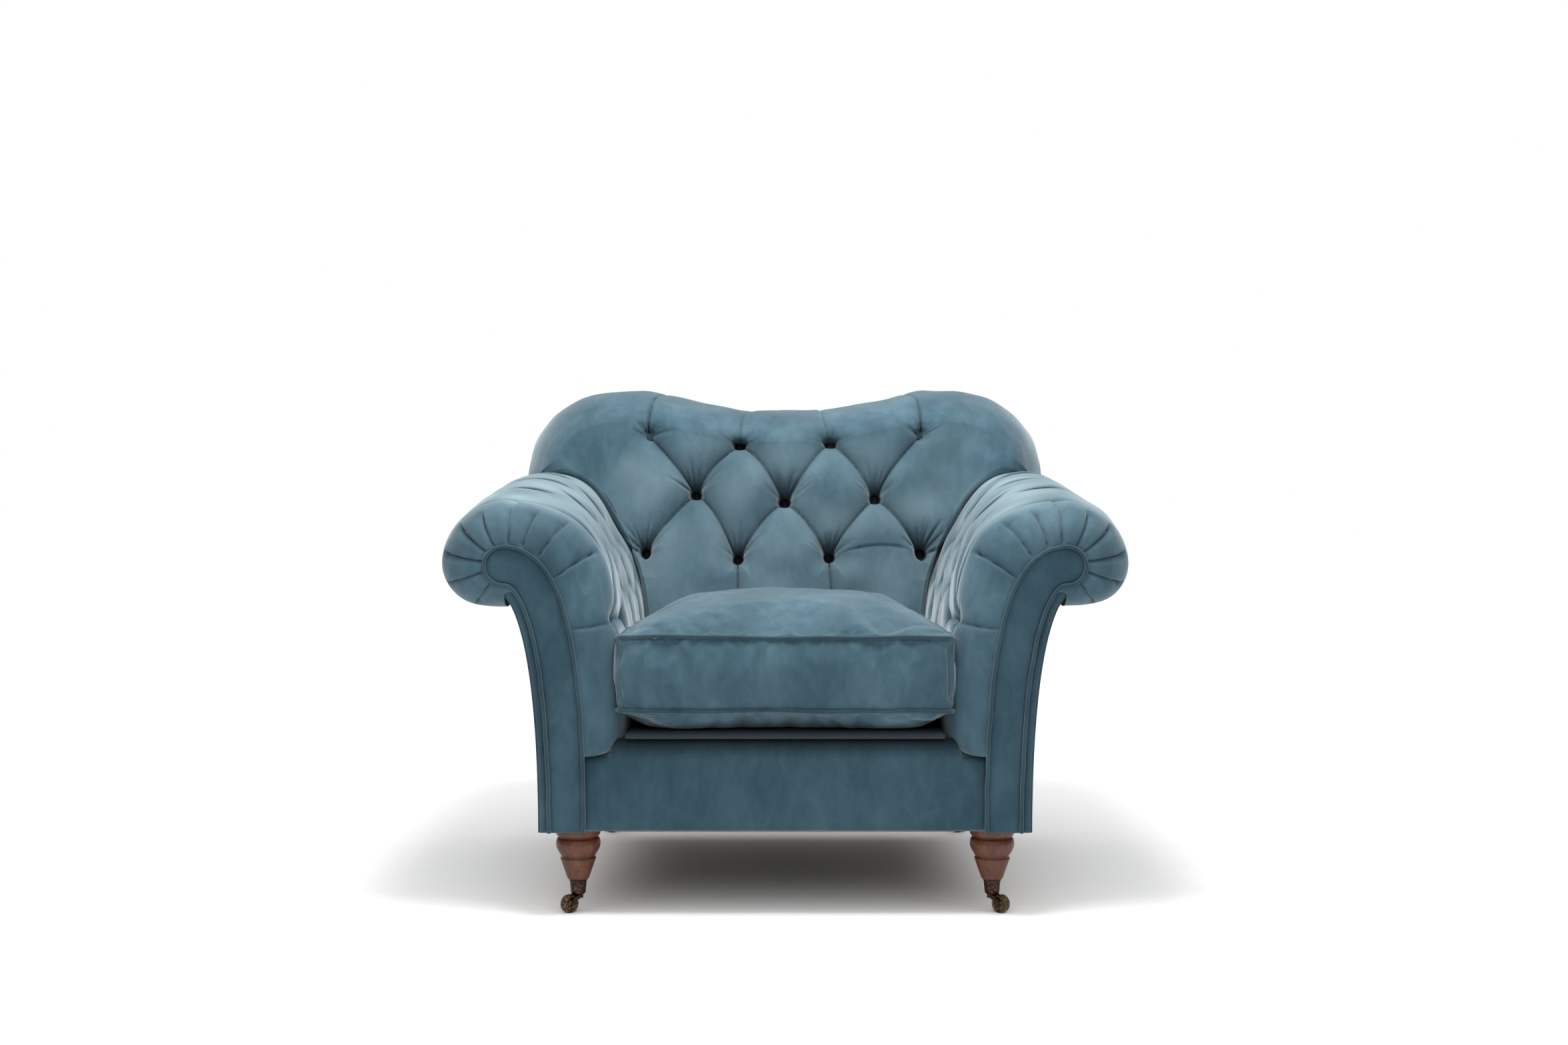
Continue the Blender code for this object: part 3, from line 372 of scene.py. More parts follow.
def stainedWood(name):
    # Beech or birch, turned, stained mid brown and finished in satin lacquer: fine grain runs up the
    # leg, the colour is darker in the grooves and at the foot, and the lacquer gives a soft highlight.
    made, tree, shader, onPiece = newMaterial(name)
    grainPlace = addNode(tree, "ShaderNodeMapping", {"Scale": (1.0, 1.0, 0.10)}, onPiece)
    # 2.4 mm grain bands
    grain = addNode(
        tree, "ShaderNodeTexNoise", {"Scale": 420.0, "Detail": 5.0, "Roughness": 0.6, "Distortion": 0.4},
        {"Vector": (grainPlace, 0)},
    )
    figure = addNode(tree, "ShaderNodeTexNoise", {"Scale": 55.0, "Detail": 3.0}, {"Vector": (grainPlace, 0)})
    both = addNode(tree, "ShaderNodeMix", {0: 0.45}, {2: (grain, 0), 3: (figure, 0)})
    ramp = addNode(tree, "ShaderNodeValToRGB", {}, {0: (both, 0)})
    setRamp(ramp, [(0.34, "#34190D"), (0.50, "#522A17"), (0.66, "#6B3E25")])
    fold = addNode(tree, "ShaderNodeAttribute", {"attribute_name": "fold"})
    shade = addNode(
        tree, "ShaderNodeMix", {"data_type": "RGBA", 7: linear("#1E100B")}, {0: (fold, "Fac"), 6: (ramp, 0)}
    )
    bump = addNode(tree, "ShaderNodeBump", {"Strength": 0.12, "Distance": 0.0003}, {"Height": (grain, 0)})
    setShader(
        tree, shader, {"Base Color": shade, "Normal": bump},
        {"Roughness": 0.42, "Specular IOR Level": 0.32, "Coat Weight": 0.12, "Coat Roughness": 0.22},
    )
    return made


def agedBrass(name, dull, worn):
    # Cast brass with a dark chemical patina: brown and fairly dull, with the metal rubbed brighter on
    # patches and ridges.
    made, tree, shader, onPiece = newMaterial(name)
    # 4 mm patches
    patches = addNode(
        tree, "ShaderNodeTexNoise", {"Scale": 260.0, "Detail": 4.0, "Roughness": 0.6}, onPiece
    )
    ramp = addNode(tree, "ShaderNodeValToRGB", {}, {0: (patches, 0)})
    setRamp(ramp, [(0.40, dull), (0.70, worn)])
    rough = addNode(
        tree, "ShaderNodeMapRange", {"From Min": 0.35, "From Max": 0.7, "To Min": 0.52, "To Max": 0.30},
        {"Value": (patches, 0)},
    )
    grit = addNode(tree, "ShaderNodeTexNoise", {"Scale": 1500.0, "Detail": 2.0}, onPiece)
    bump = addNode(tree, "ShaderNodeBump", {"Strength": 0.15, "Distance": 0.0002}, {"Height": (grit, 0)})
    setShader(tree, shader, {"Base Color": ramp, "Roughness": rough, "Normal": bump}, {"Metallic": 1.0})
    return made


def sawnHardwood(name):
    # Kiln-dried beech, planed and left bare: pale tan with short darker flecks along the board.
    made, tree, shader, onPiece = newMaterial(name)
    along = addNode(tree, "ShaderNodeMapping", {"Scale": (0.12, 1.0, 1.0)}, onPiece)
    grain = addNode(
        tree, "ShaderNodeTexNoise", {"Scale": 300.0, "Detail": 5.0, "Distortion": 0.5}, {"Vector": (along, 0)}
    )
    ramp = addNode(tree, "ShaderNodeValToRGB", {}, {0: (grain, 0)})
    setRamp(ramp, [(0.35, "#A9794C"), (0.65, "#CFA678")])
    bump = addNode(tree, "ShaderNodeBump", {"Strength": 0.2, "Distance": 0.0004}, {"Height": (grain, 0)})
    setShader(tree, shader, {"Base Color": ramp, "Normal": bump}, {"Roughness": 0.68})
    return made


def springSteel(name):
    # Oil-tempered spring wire: dark grey, with faint drawing lines and a thin oil film.
    made, tree, shader, onPiece = newMaterial(name)
    drawn = addNode(tree, "ShaderNodeTexNoise", {"Scale": 700.0, "Detail": 3.0}, onPiece)
    ramp = addNode(tree, "ShaderNodeValToRGB", {}, {0: (drawn, 0)})
    setRamp(ramp, [(0.3, "#4B4C50"), (0.7, "#85868B")])
    setShader(tree, shader, {"Base Color": ramp}, {"Metallic": 1.0, "Roughness": 0.34})
    return made


def wovenCloth(name, dark, light, thread, rough):
    # Plain woven cloth: two sets of threads at right angles, drawn about 2 mm apart so they show.
    made, tree, shader, onPiece = newMaterial(name)
    turned = addNode(tree, "ShaderNodeMapping", {"Rotation": (0.0, 0.0, math.radians(90))}, onPiece)
    scale = 1.0 / thread / 2
    warp = addNode(tree, "ShaderNodeTexWave", {"Scale": scale, "Distortion": 0.6, "Detail": 1.0}, onPiece)
    weft = addNode(
        tree, "ShaderNodeTexWave", {"Scale": scale, "Distortion": 0.6, "Detail": 1.0}, {"Vector": (turned, 0)}
    )
    weave = addNode(tree, "ShaderNodeMath", {"operation": "MULTIPLY"}, {0: (warp, 1), 1: (weft, 1)})
    ramp = addNode(tree, "ShaderNodeValToRGB", {}, {0: (weave, 0)})
    setRamp(ramp, [(0.1, dark), (0.8, light)])
    bump = addNode(tree, "ShaderNodeBump", {"Strength": 0.4, "Distance": 0.0005}, {"Height": (weave, 0)})
    setShader(tree, shader, {"Base Color": ramp, "Normal": bump}, {"Roughness": rough})
    return made


def paperSweep(name):
    # A matt paper studio sweep, almost white.
    made, tree, shader, onPiece = newMaterial(name)
    tooth = addNode(tree, "ShaderNodeTexNoise", {"Scale": 14.0, "Detail": 2.0}, onPiece)
    ramp = addNode(tree, "ShaderNodeValToRGB", {}, {0: (tooth, 0)})
    setRamp(ramp, [(0.3, "#F8F8F7"), (0.7, "#FAFAF9")])
    setShader(tree, shader, {"Base Color": ramp}, {"Roughness": 0.9, "Specular IOR Level": 0.1})
    return made


velvet = cottonVelvet("cotton velvet", "#2A434F", "#354F5B", "#425C68", "#778B92", "#060E13")
# painted shade: the same velvet in a darker copy, for the flat panels and the piping
velvetShaded = cottonVelvet("cotton velvet, shaded copy", "#213946", "#29434F", "#324C58", "#7C949E", "#060E13")
legFinish = stainedWood("stained turned hardwood")
castorFinish = agedBrass("patinated brass", "#2C2122", "#57453A")
wheelFinish = agedBrass("patinated brass, rubbed", "#3A2E2B", "#8C7656")
boardFinish = sawnHardwood("bare planed beech")
springFinish = springSteel("oil-tempered spring wire")
deckFinish = wovenCloth("woven platform cloth", "#131E25", "#202E37", 0.0022, 0.85)
dustFinish = wovenCloth("black dust cloth", "#0B0B0C", "#232325", 0.0018, 0.9)
sweepFinish = paperSweep("matt paper sweep")


def dress(piece, finish):
    piece.data.materials.clear()
    piece.data.materials.append(finish)
    return piece


def settle(piece, finish, body, stands=None):  # finish, body and the CAD piece it stands for
    dress(piece, finish)
    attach(piece, body)
    if stands:
        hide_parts(stands)


print("materials made")

# The chair's shared sizes, in metres

chair = dict(
    rearY=boxHigh.y, top=boxHigh.z,
    legHeight=0.144, facingY=-0.447, footX=0.3675, rollX=0.4725, rollZ=0.5925, rise=0.050,
    riseStart=-0.4084, riseEnd=0.1098, facingFoot=0.0275, facingEnd=0.031,
    seamZ=0.472, deckZ=0.312, borderTop=0.270, padFoot=0.272, backHalf=0.539, humpX=0.346,
    shoulderZ=0.760, faceY=0.145, faceLean=0.22, rearSkin=0.0066, dipHalf=0.090, dipDepth=0.0415,
    humpFlat=0.028, tuck=0.80, rakeSlope=0.16, rake=math.atan(0.16),
)


def backFace(z):
    return chair["faceY"] + chair["faceLean"] * (z - chair["seamZ"])


def rakedPlane(z, depth):
    return chair["rearY"] - (chair["top"] - 0.006 - z) * chair["rakeSlope"] - depth / math.cos(chair["rake"])


def riseAt(y):
    share = np.clip((np.asarray(y, float) - chair["riseStart"]) / (chair["riseEnd"] - chair["riseStart"]), 0, 1)
    return chair["rise"] * share, share


def centreLine(t, rise):  # the arm's centre line, from its foot to the middle of its roll
    foot, rollX, leg = chair["footX"], chair["rollX"], chair["legHeight"]
    rollZ = chair["rollZ"] + rise
    xs = (foot, foot, foot + 0.26 * (rollX - foot), rollX)
    zs = (leg, leg + 0.593 * (rollZ - leg), rollZ, rollZ)
    s = 1 - t
    x = s**3 * xs[0] + 3 * s * s * t * xs[1] + 3 * s * t * t * xs[2] + t**3 * xs[3]
    z = s**3 * zs[0] + 3 * s * s * t * zs[1] + 3 * s * t * t * zs[2] + t**3 * zs[3]
    dx = s * s * (xs[1] - xs[0]) + 2 * s * t * (xs[2] - xs[1]) + t * t * (xs[3] - xs[2])
    dz = s * s * (zs[1] - zs[0]) + 2 * s * t * (zs[2] - zs[1]) + t * t * (zs[3] - zs[2])
    length = np.hypot(dx, dz)
    return x, z, dx / length, dz / length


def stripEdge(t, side, offset, rise):  # a place off the facing's edge; side 1 looks to the seat, -1 away
    x, z, dx, dz = centreLine(t, rise)
    out = (-dz * side, dx * side)
    half = chair["facingFoot"] + (chair["facingEnd"] - chair["facingFoot"]) * t
    return x + out[0] * (half + offset), z + out[1] * (half + offset), out[0], out[1]


def tAtHeight(z, rise):
    low = np.zeros(np.shape(rise))
    high = np.ones(np.shape(rise))
    for _ in range(30):
        middle = (low + high) / 2
        below = stripEdge(middle, 1, 0, rise)[1] < z
        low = np.where(below, middle, low)
        high = np.where(below, high, middle)
    return low


def smoothTable(table, t):
    value = np.full(np.shape(t), float(table[-1][1]))
    for (t0, v0), (t1, v1) in reversed(list(zip(table, table[1:]))):
        share = np.clip((t - t0) / (t1 - t0), 0, 1)
        value = np.where(t <= t1, v0 + (v1 - v0) * share * share * (3 - 2 * share), value)
    return value


# The camera, floor and lights

view = dict(place=(-0.002, -3.55, 0.72), lens=42.46, shift=-0.0208, floorHalf=9.0)
cameraData = bpy.data.cameras.new("view")
cameraData.lens = view["lens"]
cameraData.sensor_width = 36.0
cameraData.shift_y = view["shift"]
camera = bpy.data.objects.new("view", cameraData)
camera.location = view["place"]
camera.rotation_euler = (math.radians(90), 0, 0)
bpy.context.scene.collection.objects.link(camera)
bpy.context.scene.camera = camera

bpy.ops.mesh.primitive_plane_add(size=2 * view["floorHalf"], location=(0, 0, 0))
floor = bpy.context.object
floor.name = "paperFloor"
bpy.ops.object.select_all(action="DESELECT")
dress(floor, sweepFinish)

light = dict(sky="#FFFFFF", skyPower=0.30, backdrop=1.0)
world = bpy.data.worlds.new("studio")
bpy.context.scene.world = world
world.use_nodes = True
sky = world.node_tree
background = sky.nodes["Background"]
background.inputs["Color"].default_value = linear(light["sky"])
seen = addNode(sky, "ShaderNodeLightPath", {})
power = addNode(
    sky, "ShaderNodeMapRange", {"To Min": light["skyPower"], "To Max": light["backdrop"]},
    {"Value": (seen, "Is Camera Ray")},
)
sky.links.new(power.outputs[0], background.inputs["Strength"])
for name, kind, place, aim, size, power in (
    ("softTop", "SUN", (0.0, -0.9, 3.0), (0, 0, 0), math.radians(105), 2.6),
    ("nearTop", "AREA", (0.0, -0.62, 2.10), (0, 0.1, 0.4), 0.8, 37),
    ("front", "AREA", (0.0, -4.2, 2.0), (0, 0, 0.4), 2.4, 12),
):
    lampData = bpy.data.lights.new(name, kind)
    if kind == "SUN":
        lampData.angle = size
    else:
        lampData.shape = "DISK"
        lampData.size = size
    lampData.energy = power
    lamp = bpy.data.objects.new(name, lampData)
    lamp.location = place
    lamp.rotation_euler = (Vector(aim) - Vector(place)).to_track_quat("-Z", "Y").to_euler()
    bpy.context.scene.collection.objects.link(lamp)
bpy.context.scene.view_settings.view_transform = "Standard"
print("camera and lights set")

# The padded back: a core that the tufting is drawn into, and a band that rolls over the crest

back = dict(
    columns=400, rows=215, turnSteps=34, rearSteps=16, crestRound=0.075, crestDepth=0.150, sideDepth=0.016,
    rearRound=0.030, creaseDepth=0.022, pocketDepth=0.037, reach=0.066, foot=0.318, smoothing=11, puff=0.004,
)
buttonRows = dict(pitch=0.184, rowPitch=0.117, top=0.110, counts=(4, 3, 4), rise=0.15)


def buttonPlaces():
    places = []
    for row, count in enumerate(buttonRows["counts"]):
        z = chair["top"] - buttonRows["top"] - row * buttonRows["rowPitch"]
        for i in range(count):
            x = (i - (count - 1) / 2) * buttonRows["pitch"]
            places.append((x, z + buttonRows["rise"] * x * x))
    return places


def crestLine(inset, startTurn, foot=None):  # the back's top edge from its right shoulder to its left
    radiusX = chair["backHalf"] - inset - chair["humpX"]
    radiusZ = chair["top"] - inset - chair["shoulderZ"]
    points = [(chair["backHalf"] - inset, foot)] if foot else []
    for turn in np.linspace(startTurn, math.pi / 2, 24):
        points.append((chair["humpX"] + radiusX * math.cos(turn), chair["shoulderZ"] + radiusZ * math.sin(turn)))
    rampEnd = chair["humpX"] - 2 * chair["humpFlat"]
    for x in np.linspace(rampEnd, chair["dipHalf"], 24):
        share = (x - chair["dipHalf"]) / (rampEnd - chair["dipHalf"])
        fall = 1 - share
        points.append((x, chair["top"] - inset - chair["dipDepth"] * fall))
    points = np.array(points)
    # rounding takes the corner off where the hump's flat meets its shoulder
    dense = resample(np.concatenate([points, points[::-1] * (-1, 1)]), 400)
    for _ in range(back["smoothing"]):
        dense[1:-1] = (dense[:-2] + 2 * dense[1:-1] + dense[2:]) / 4
    return dense


armPad = dict(
    rollPad=0.0715, swell=0.0100, underPad=0.041, tuckPad=0.030, footShare=0.103, innerShare=0.554, rollShare=0.920,
    frontTable=((0.15, 0.0700), (0.50, 0.0790), (0.75, 0.0935), (1.00, 0.0715)),
    rearTable=((0.15, 0.0700), (0.50, 0.0735), (0.75, 0.0605), (1.00, 0.0715)),
    noseRound=0.062, noseTurn=17.0, footRound=0.036, columns=400, noseRows=96, rows=250, length=0.875,
)


def armSection(s, y):
    # The arm's padding around its section: s runs from the inner foot up, over the roll and under it.
    rise, share = riseAt(y)
    foot, a, b = armPad["footShare"], armPad["innerShare"], armPad["rollShare"]
    corner = math.pi / 2 * np.clip((s / foot - 0.38) / 0.62, 0, 1)  # the pad's rounded lower corner
    start = tAtHeight(chair["padFoot"] + armPad["footRound"] * (1 - np.cos(corner)), rise)
    tInner = start + (1 - start) * np.clip((s - foot) / (a - foot), 0, 1)
    inner = stripEdge(tInner, 1, 0, rise)
    padInner = smoothTable(armPad["frontTable"], tInner) * (1 - share) + smoothTable(
        armPad["rearTable"], tInner
    ) * share
    bend = armPad["footRound"] / 0.070
    padInner = padInner * np.where(s < foot, (1 - bend) * np.clip(s / foot / 0.38, 0, 1) + bend * np.sin(corner), 1.0)
    turn = math.pi / 2 - math.pi * np.clip((s - a) / (b - a), 0, 1)
    ox, oz = np.cos(turn), np.sin(turn)
    roll = (
        chair["rollX"] + ox * chair["facingEnd"] + 0 * rise,
        chair["rollZ"] + rise + oz * chair["facingEnd"], ox, oz,
    )
    under = np.maximum(-oz, 0) ** 2
    padRoll = armPad["rollPad"] + (armPad["underPad"] - armPad["rollPad"]) * under + 0.005 * np.clip(ox, 0, 1) ** 2
    tOuter = 1 + (chair["tuck"] - 1) * np.clip((s - b) / (1 - b), 0, 1)
    outer = stripEdge(tOuter, -1, 0, rise)
    padOuter = armPad["underPad"] + (armPad["tuckPad"] - armPad["underPad"]) * np.clip((s - b) / (1 - b), 0, 1)
    padOuter = padOuter - 0.0170 * smoothStep(s, 0.965, 1.0)  # the roll's lower edge turns in against the outside arm
    onRoll, onOuter = (s > a) & (s <= b), s > b
    pick = [np.where(onOuter, o, np.where(onRoll, r, i)) for i, r, o in zip(inner, roll, outer)]
    pad = np.where(onOuter, padOuter, np.where(onRoll, padRoll, padInner))
    crown = smoothStep(s, a - 0.16, a + 0.02) * (1 - smoothStep(s, b - 0.20, b - 0.02))
    swell = armPad["swell"] * crown * (0.55 + 0.45 * smoothStep(y, -0.38, -0.33))
    return (*pick, pad + swell)


def armPlace(z, y):  # s at a height on the arm's seat side, at a depth
    s = np.linspace(armPad["footShare"], armPad["innerShare"], 120)
    x, edgeZ, nx, nz, pad = armSection(s, np.full(s.shape, y))
    return float(np.interp(z, edgeZ + nz * pad, s))


def buildBack():
    # outlines: where the pad meets the arms and where it is highest, and the core inside them
    s = np.linspace(armPad["footShare"], 0.80, 160)
    x, z, nx, nz, pad = armSection(s, np.full(s.shape, 0.30))
    touch = np.stack([x + nx * (pad + 0.001), z + nz * (pad + 0.001)], -1)
    inside = np.stack([x + nx * (pad + 0.013), z + nz * (pad + 0.013)], -1)
    touch = touch[touch[:, 1] > 0.332]
    inside = inside[inside[:, 1] > 0.340]
    touch = touch[touch[:, 0] < chair["backHalf"] - 0.004]
    inside = inside[inside[:, 0] < 0.452]
    crestOuter = crestLine(0.0, 0.0, 0.724)
    crestCore = crestLine(back["crestRound"], math.radians(16))
    sideOuter = np.concatenate([[(touch[0, 0], back["foot"])], touch, [crestOuter[0]]])
    sideCore = np.concatenate([[(inside[0, 0], back["foot"] + 0.020)], inside, [crestCore[0]]])
    rows, columns = back["rows"], back["columns"]
    right = [resample(line, rows) for line in (sideCore, sideOuter)]
    top = [resample(line[::-1], columns) for line in (crestCore, crestOuter)]
    left = [line * (-1, 1) for line in right]
    bottom = [np.linspace(l[0], r[0], columns) for l, r in zip(left, right)]
    # the core's grid, spread evenly between its four sides
    u = np.linspace(0, 1, columns)[None, :, None]
    v = np.linspace(0, 1, rows)[:, None, None]
    b, t, l, r = (line[0] for line in (bottom, top, left, right))
    core = (
        (1 - v) * b[None] + v * t[None] + (1 - u) * l[:, None] + u * r[:, None]
        - ((1 - u) * (1 - v) * b[0] + u * (1 - v) * b[-1] + (1 - u) * v * t[0] + u * v * t[-1])
    )
    # the band's rows, from the core's edge outwards and over
    def around(which):
        return np.concatenate([
            bottom[which], right[which][1:], top[which][::-1][1:], left[which][::-1][1:-1],
        ])
    edge, rim = around(0), around(1)
    onTop = np.concatenate([
        np.zeros(columns), smoothStep(np.linspace(0, 1, rows)[1:], 0.90, 1.0),
        np.ones(columns - 1), smoothStep(np.linspace(0, 1, rows)[::-1][1:-1], 0.90, 1.0),
    ])
    outward = rim - edge
    length = np.linalg.norm(outward, axis=1, keepdims=True)
    outward = outward / length
    depthRound = back["sideDepth"] + (back["crestDepth"] - back["sideDepth"]) * onTop
    arc = math.pi / 2 * np.sqrt((length[:, 0] ** 2 + depthRound**2) / 2)
    flat, place = [], []
    turns = np.linspace(0, math.pi / 2, back["turnSteps"] + 1)[1:]
    for turn in turns:
        inPlane = edge + outward * length * math.sin(turn)
        y = backFace(edge[:, 1] + (inPlane[:, 1] - edge[:, 1]) * 0.35) + depthRound * (1 - math.cos(turn))
        place.append(np.stack([inPlane[:, 0], y, inPlane[:, 1]], -1))
        flat.append(edge + outward * (arc * turn / (math.pi / 2))[:, None])
    widest = place[-1]
    for turn in np.linspace(0, math.pi / 2, back["rearSteps"] + 1)[1:]:
        drawn = back["rearRound"] * (1 - math.cos(turn)) * onTop
        inPlane = rim - outward * drawn[:, None]
        rear = rakedPlane(inPlane[:, 1], chair["rearSkin"])
        step = np.where(onTop > 0.5, rear - widest[:, 1], 0.056)
        y = widest[:, 1] + step * math.sin(turn)
        place.append(np.stack([inPlane[:, 0], y, inPlane[:, 1]], -1))
        flat.append(edge + outward * (arc + 0.06 * turn / (math.pi / 2))[:, None])
    place, flat = np.array(place), np.array(flat)
    coreXyz = np.stack([core[..., 0], backFace(core[..., 1]), core[..., 1]], -1)
    creases = backCreases()
    lean = math.atan(chair["faceLean"])
    coreNormal = np.broadcast_to(np.array([0, -math.cos(lean), math.sin(lean)]), coreXyz.shape)
    coreDepth, coreLine = creaseField(*warped(core[..., 0], core[..., 1]), creases)
    bandDepth, bandLine = creaseField(*warped(flat[..., 0], flat[..., 1]), creases)
    ring = np.concatenate([np.stack([edge[:, 0], backFace(edge[:, 1]), edge[:, 1]], -1)[None], place])
    wrapped = np.concatenate([ring[:, -1:], ring, ring[:, :1]], 1)
    bandNormal = -gridNormals(wrapped)[1:, 1:-1]
    if (bandNormal[0, : back["columns"], 1] > 0).mean() > 0.5:
        bandNormal = -bandNormal
    fade = np.concatenate([np.ones(len(turns)), np.linspace(1, 0.15, back["rearSteps"])])[:, None]
    fade = fade * np.where(onTop[None] > 0.5, 1.0, 0.6)
    uneven = 0.0016 * softWaves(core[..., 0], core[..., 1], 5, 0.13)
    unevenBand = 0.0016 * softWaves(flat[..., 0], flat[..., 1], 5, 0.13)
    puff = back["puff"]
    coreXyz = coreXyz + coreNormal * (puff - coreDepth + uneven)[..., None]
    place = place + bandNormal * ((unevenBand - bandDepth) * fade)[..., None]
    # the puff fades over the first band rows
    lift = puff * np.clip(1 - np.arange(len(place)) / 12, 0, 1)[:, None, None]
    place = place + bandNormal * lift
    points = np.concatenate([coreXyz.reshape(-1, 3), place.reshape(-1, 3)])
    lines = np.concatenate([coreLine.ravel(), (bandLine * fade).ravel()])
    index = np.arange(rows * columns).reshape(rows, columns)
    faces = np.stack([index[:-1, :-1], index[:-1, 1:], index[1:, 1:], index[1:, :-1]], -1).reshape(-1, 4).tolist()
    firstLoop = np.concatenate([index[0], index[1:, -1], index[-1, ::-1][1:], index[::-1, 0][1:-1]])
    loops = [firstLoop] + [rows * columns + k * len(rim) + np.arange(len(rim)) for k in range(len(place))]
    for low, high in zip(loops, loops[1:]):
        lowNext, highNext = np.roll(low, -1), np.roll(high, -1)
        faces += np.stack([low, high, highNext, lowNext], -1).tolist()
    piece = meshObject("backPad", points, faces)
    # painted shade: the fold attribute darkens creases, pleats and button pockets
    addAttribute(piece, "fold", lines)
    # painted highlight: the pads below the crest are paler, where light from above falls
    paintedHighlightShare = 0.20 * (1 - smoothStep(points[:, 2], 0.74, 0.90)) * (1 - smoothStep(np.abs(points[:, 0]), 0.30, 0.46))
    addAttribute(piece, "paintedHighlight", paintedHighlightShare * (1 + 0.5 * softWaves(points[:, 0], points[:, 2], 9, 0.11)))
    closing = bmesh.new()
    closing.from_mesh(piece.data)
    bmesh.ops.holes_fill(closing, edges=[e for e in closing.edges if e.is_boundary], sides=0)
    bmesh.ops.recalc_face_normals(closing, faces=closing.faces)
    closing.to_mesh(piece.data)
    closing.free()
    piece.data.shade_smooth()
    settle(piece, velvet, "chair", "back_pad")
    return piece, core, coreXyz, coreNormal


def warped(x, z):  # the tufts aren't drawn with a ruler
    return x + 0.0035 * softWaves(x, z, 21, 0.22, 6), z + 0.0035 * softWaves(x, z, 22, 0.22, 6)


def backCreases():
    places = buttonPlaces()
    rows = [places[0:4], places[4:7], places[7:11]]
    middle, deep, reach = back["creaseDepth"], back["pocketDepth"], back["reach"]
    creases = []

    def side(upper, lower, strength=1.0, lip=0.0, atTop=None):
        bend = (lower[0] + 0.41 * (upper[0] - lower[0]), upper[1] - 0.41 * (upper[1] - lower[1]))
        line = curvedLine(upper, lower, bend, 11)
        share = np.linspace(0, 1, 11)
        fromTop = np.exp(-((share / 0.16) ** 2))
        fromFoot = np.exp(-(((1 - share) / 0.20) ** 2))
        depth = strength * middle + ((atTop or deep) - middle) * fromTop + (deep - middle) * fromFoot
        addCrease(creases, points=line, depth=depth, reach=reach, lip=lip, lineWidth=0.0026, dark=0.8)

    for i, upper in enumerate(rows[0]):
        for lower in rows[1]:
            if abs(upper[0] - lower[0]) < 0.13:
                side(upper, lower, lip=0.25 * np.sign(upper[0] - lower[0]), atTop=0.020 if i in (0, 3) else None)
    for upper in rows[1]:
        for lower in rows[2]:
            if abs(upper[0] - lower[0]) < 0.13:
                side(upper, lower, lip=0.25 * np.sign(upper[0] - lower[0]))
    # pleats over the crest and down to the seat
    for i, (x, z) in enumerate(rows[0]):
        outer = i in (0, 3)
        way = np.sign(x) * (1.0 if outer else 0.3)
        line = [
            (x, z), (x + way * 0.002, z + 0.03), (x + way * 0.012, z + 0.08), (x + way * 0.036, z + 0.18),
            (x + way * 0.055, z + 0.34),
        ]
        start = 0.020 if outer else deep
        addCrease(
            creases, points=line, depth=[start, 0.012, 0.009, 0.0050, 0.002], reach=0.024, lip=0.3, sharp=0.45,
            lineWidth=0.0020, dark=1.6,
        )
    for i, (x, z) in enumerate(rows[2]):
        if i in (1, 2):
            line = [(x, z), (x, z - 0.03), (x + 0.004 * np.sign(x), z - 0.10), (x + 0.006 * np.sign(x), z - 0.30)]
            addCrease(
                creases, points=line, depth=[deep, 0.015, 0.014, 0.014], reach=0.050, lip=0.2, sharp=0.5,
                lineWidth=0.0022, dark=1.6,
            )
        else:
            way = np.sign(x)
            line = [(x, z), (x + way * 0.035, z + 0.004), (x + way * 0.085, z + 0.010), (x + way * 0.13, z + 0.02)]
            creases.append(
                dict(points=line, depth=[deep, 0.015, 0.009, 0.006], reach=0.050, lineWidth=0.0026, dark=0.8)
            )
            line = [(x, z), (x + way * 0.006, z - 0.05), (x + way * 0.004, z - 0.14)]
            addCrease(creases, points=line, depth=[deep, 0.008, 0.003], reach=0.050, lineWidth=0.002, dark=0.3)
    # the long fold between the two lower buttons on the right
    a, b = rows[2][2], rows[2][3]
    fold = curvedLine(a, b, ((a[0] + b[0]) / 2, a[1] + 0.030), 9)
    addCrease(
        creases, points=fold, depth=[0.010, 0.008, 0.0055, 0.0045, 0.004, 0.004, 0.005, 0.007, 0.010],
        reach=0.022, lip=0.5, lineWidth=0.002, dark=0.35,
    )
    # pockets round the buttons, with painted shade in their hollows
    for i, (x, z) in enumerate(places):
        shallow = i in (0, 3)
        addCrease(
            creases, points=[(x, z), (x, z + 0.0005)], depth=[0.016 if shallow else deep] * 2,
            reach=0.030 if shallow else 0.040, sharp=0.8, lineWidth=0.0075, dark=0.3 if shallow else 1.3,
        )
        addCrease(
            creases, points=[(x, z), (x, z + 0.0005)], depth=[0.006 if shallow else 0.022] * 2, reach=0.034,
            hole=0.0125, dark=0.25 if shallow else 1.5,
        )
    # fans of fine gathers at each button, mostly above it
    chance = np.random.default_rng(8)
    for i, (x, z) in enumerate(places):
        upper = i < 4
        count = 7 if upper else 15
        for k in range(count):
            spread = 170 if upper else 125
            turn = math.radians(90 + spread * ((k + chance.uniform(0.2, 0.8)) / count - 0.5))
            long = chance.uniform(0.034, 0.072) * (0.7 if upper else 1.0)
            start, end = 0.010, 0.010 + long
            bend = chance.uniform(-0.10, 0.10)
            near = (x + start * math.cos(turn), z + start * math.sin(turn))
            far = (x + end * math.cos(turn + bend), z + end * math.sin(turn + bend))
            size = chance.uniform(0.0042, 0.0085) * (0.6 if upper else 1.0)
            addCrease(
                creases, points=[near, far], depth=[size, 0.0], reach=chance.uniform(0.0055, 0.0090), sharp=0.9,
                added=True, dark=0.55, lineWidth=0.0018,
            )
    return creases


backPiece, coreFlat, coreXyz, coreNormal = buildBack()
print("back pad made:", len(backPiece.data.vertices), "points")

# Covered buttons: each is modelled on its own, with its own mesh

button = dict(radius=0.0098, thick=0.0080, segments=28, rings=12)


